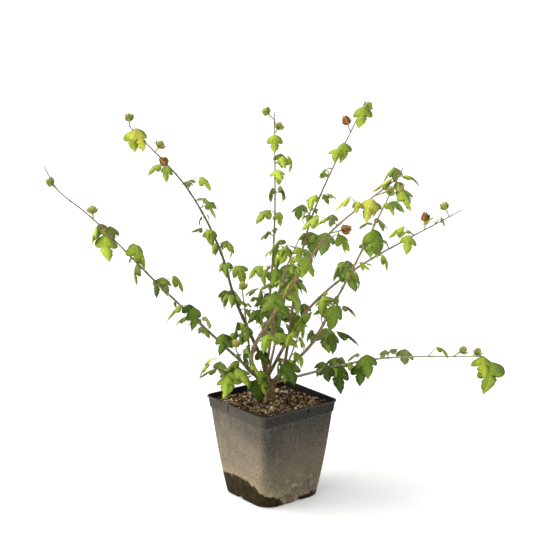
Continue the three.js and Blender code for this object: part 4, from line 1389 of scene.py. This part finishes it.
class SHRUB_OT_capsules(bpy.types.Operator):
    """Builds the ribbed seed capsules with their sepals and bracts, green and dry"""

    bl_idname = "shrub.capsules"
    bl_label = "Build capsules"

    def execute(self, context):
        capsules = grow_shrub()[2]
        plant = context.scene.shrub_plant
        greens = ((0.22, 0.3, 0.05), (0.42, 0.5, 0.1))
        leafy = mottled_material("capsule sepals", *greens, 0.65, 120, 700)
        for is_dry, name, colour, shade, kinds in (
            (False, "green", plant.capsule, (0.82, 0.55, 0.5), (SEPALS, BRACTS)),
            (True, "dry", plant.capsule_dry, (0.45, 0.36, 0.3), (VALVES, SEPALS, BRACTS)),
        ):
            chosen = [capsule for capsule in capsules if capsule[4] == is_dry]
            darker = [c * s for c, s in zip(colour, shade)]
            finish = mottled_material("capsule " + name, darker, colour, 0.65, 170, 700)
            eggs = join([capsule_egg(*capsule) for capsule in chosen])
            piece = make_object("capsules_" + name, *eggs, [finish])
            declare(piece, "foliage", *FOLIAGE_NODES)
            rings = join(
                [capsule_bracts(*capsule[:4], *kind)[:2] for capsule in chosen for kind in kinds]
            )
            piece = make_object("bracts_" + name, *rings, [finish if is_dry else leafy])
            declare(piece, "foliage", *FOLIAGE_NODES)
        return {"FINISHED"}


class SHRUB_OT_stage(bpy.types.Operator):
    """Sets the floor, the soft light and the camera"""

    bl_idname = "shrub.stage"
    bl_label = "Set the stage"

    def execute(self, context):
        settings = context.scene.shrub_stage
        self.lay_floor()
        self.light(context.scene, settings)
        self.aim_camera(context.scene, settings)
        context.scene.view_settings.view_transform = "Standard"
        return {"FINISHED"}

    def lay_floor(self):
        bpy.ops.mesh.primitive_plane_add(size=40)
        floor = bpy.context.object
        floor.name = "floor"
        paper = Finish("floor", None, 0.9)
        paper.shader.inputs["Base Color"].default_value = (0.94, 0.94, 0.94, 1)
        paper.shader.inputs["Emission Color"].default_value = (1, 1, 1, 1)
        paper.shader.inputs["Emission Strength"].default_value = 0.22
        floor.data.materials.append(paper.material)

    def light(self, scene, settings):
        """White light from all round, brighter where the camera sees it, and two broad lamps."""
        scene.world = bpy.data.worlds.new("studio")
        scene.world.use_nodes = True
        sky = scene.world.node_tree
        seen = put(sky, "ShaderNodeLightPath").outputs["Is Camera Ray"]
        shade = sky.nodes["Background"].inputs
        shade["Color"].default_value = (1, 1, 1, 1)
        sky.links.new(calculate(sky, "ADD", settings.ambient, seen), shade["Strength"])
        for name, strength, heading, rise in (
            ("top lamp", settings.top, 200, 60),
            ("side lamp", settings.side, 172, 24),
        ):
            light = bpy.data.lights.new(name, "SUN")
            light.energy, light.angle = strength, math.radians(60)
            lamp = bpy.data.objects.new(name, light)
            lamp.rotation_euler = Vector(aim(heading, rise)).to_track_quat("Z", "Y").to_euler()
            scene.collection.objects.link(lamp)

    def aim_camera(self, scene, settings):
        camera = bpy.data.cameras.new("camera")
        camera.lens, camera.sensor_width = settings.lens, 36
        eye = bpy.data.objects.new("camera", camera)
        eye.location = (settings.aside, -settings.distance, settings.height)
        eye.rotation_euler = (math.pi / 2 - settings.pitch, 0, 0)
        scene.collection.objects.link(eye)
        scene.camera = eye


BUILDERS = (
    SHRUB_OT_pot,
    SHRUB_OT_mulch,
    SHRUB_OT_wood,
    SHRUB_OT_twigs,
    SHRUB_OT_leaves,
    SHRUB_OT_capsules,
    SHRUB_OT_stage,
)


class SHRUB_PT_panel(bpy.types.Panel):
    """Lists the settings and the builders"""

    bl_label = "Potted shrub"
    bl_idname = "SHRUB_PT_panel"
    bl_space_type = "VIEW_3D"
    bl_region_type = "UI"
    bl_category = "Shrub"

    def draw(self, context):
        for name in GROUPS:
            settings = getattr(context.scene, name)
            for key in settings.__annotations__:
                self.layout.prop(settings, key)
        for builder in BUILDERS:
            self.layout.operator(builder.bl_idname)


GROUPS = {"shrub_pot": PotSettings, "shrub_plant": PlantSettings, "shrub_stage": StageSettings}


def register():
    for each in (*GROUPS.values(), *BUILDERS, SHRUB_PT_panel):
        bpy.utils.register_class(each)
    for name, group in GROUPS.items():
        setattr(bpy.types.Scene, name, PointerProperty(type=group))


def unregister():
    for name in GROUPS:
        delattr(bpy.types.Scene, name)
    for each in reversed((*GROUPS.values(), *BUILDERS, SHRUB_PT_panel)):
        bpy.utils.unregister_class(each)


def main():
    register()
    bpy.ops.shrub.pot()
    bpy.ops.shrub.mulch()
    bpy.ops.shrub.wood()
    bpy.ops.shrub.twigs()
    bpy.ops.shrub.leaves()
    bpy.ops.shrub.capsules()
    bpy.ops.shrub.stage()


if __name__ == "__main__":
    main()
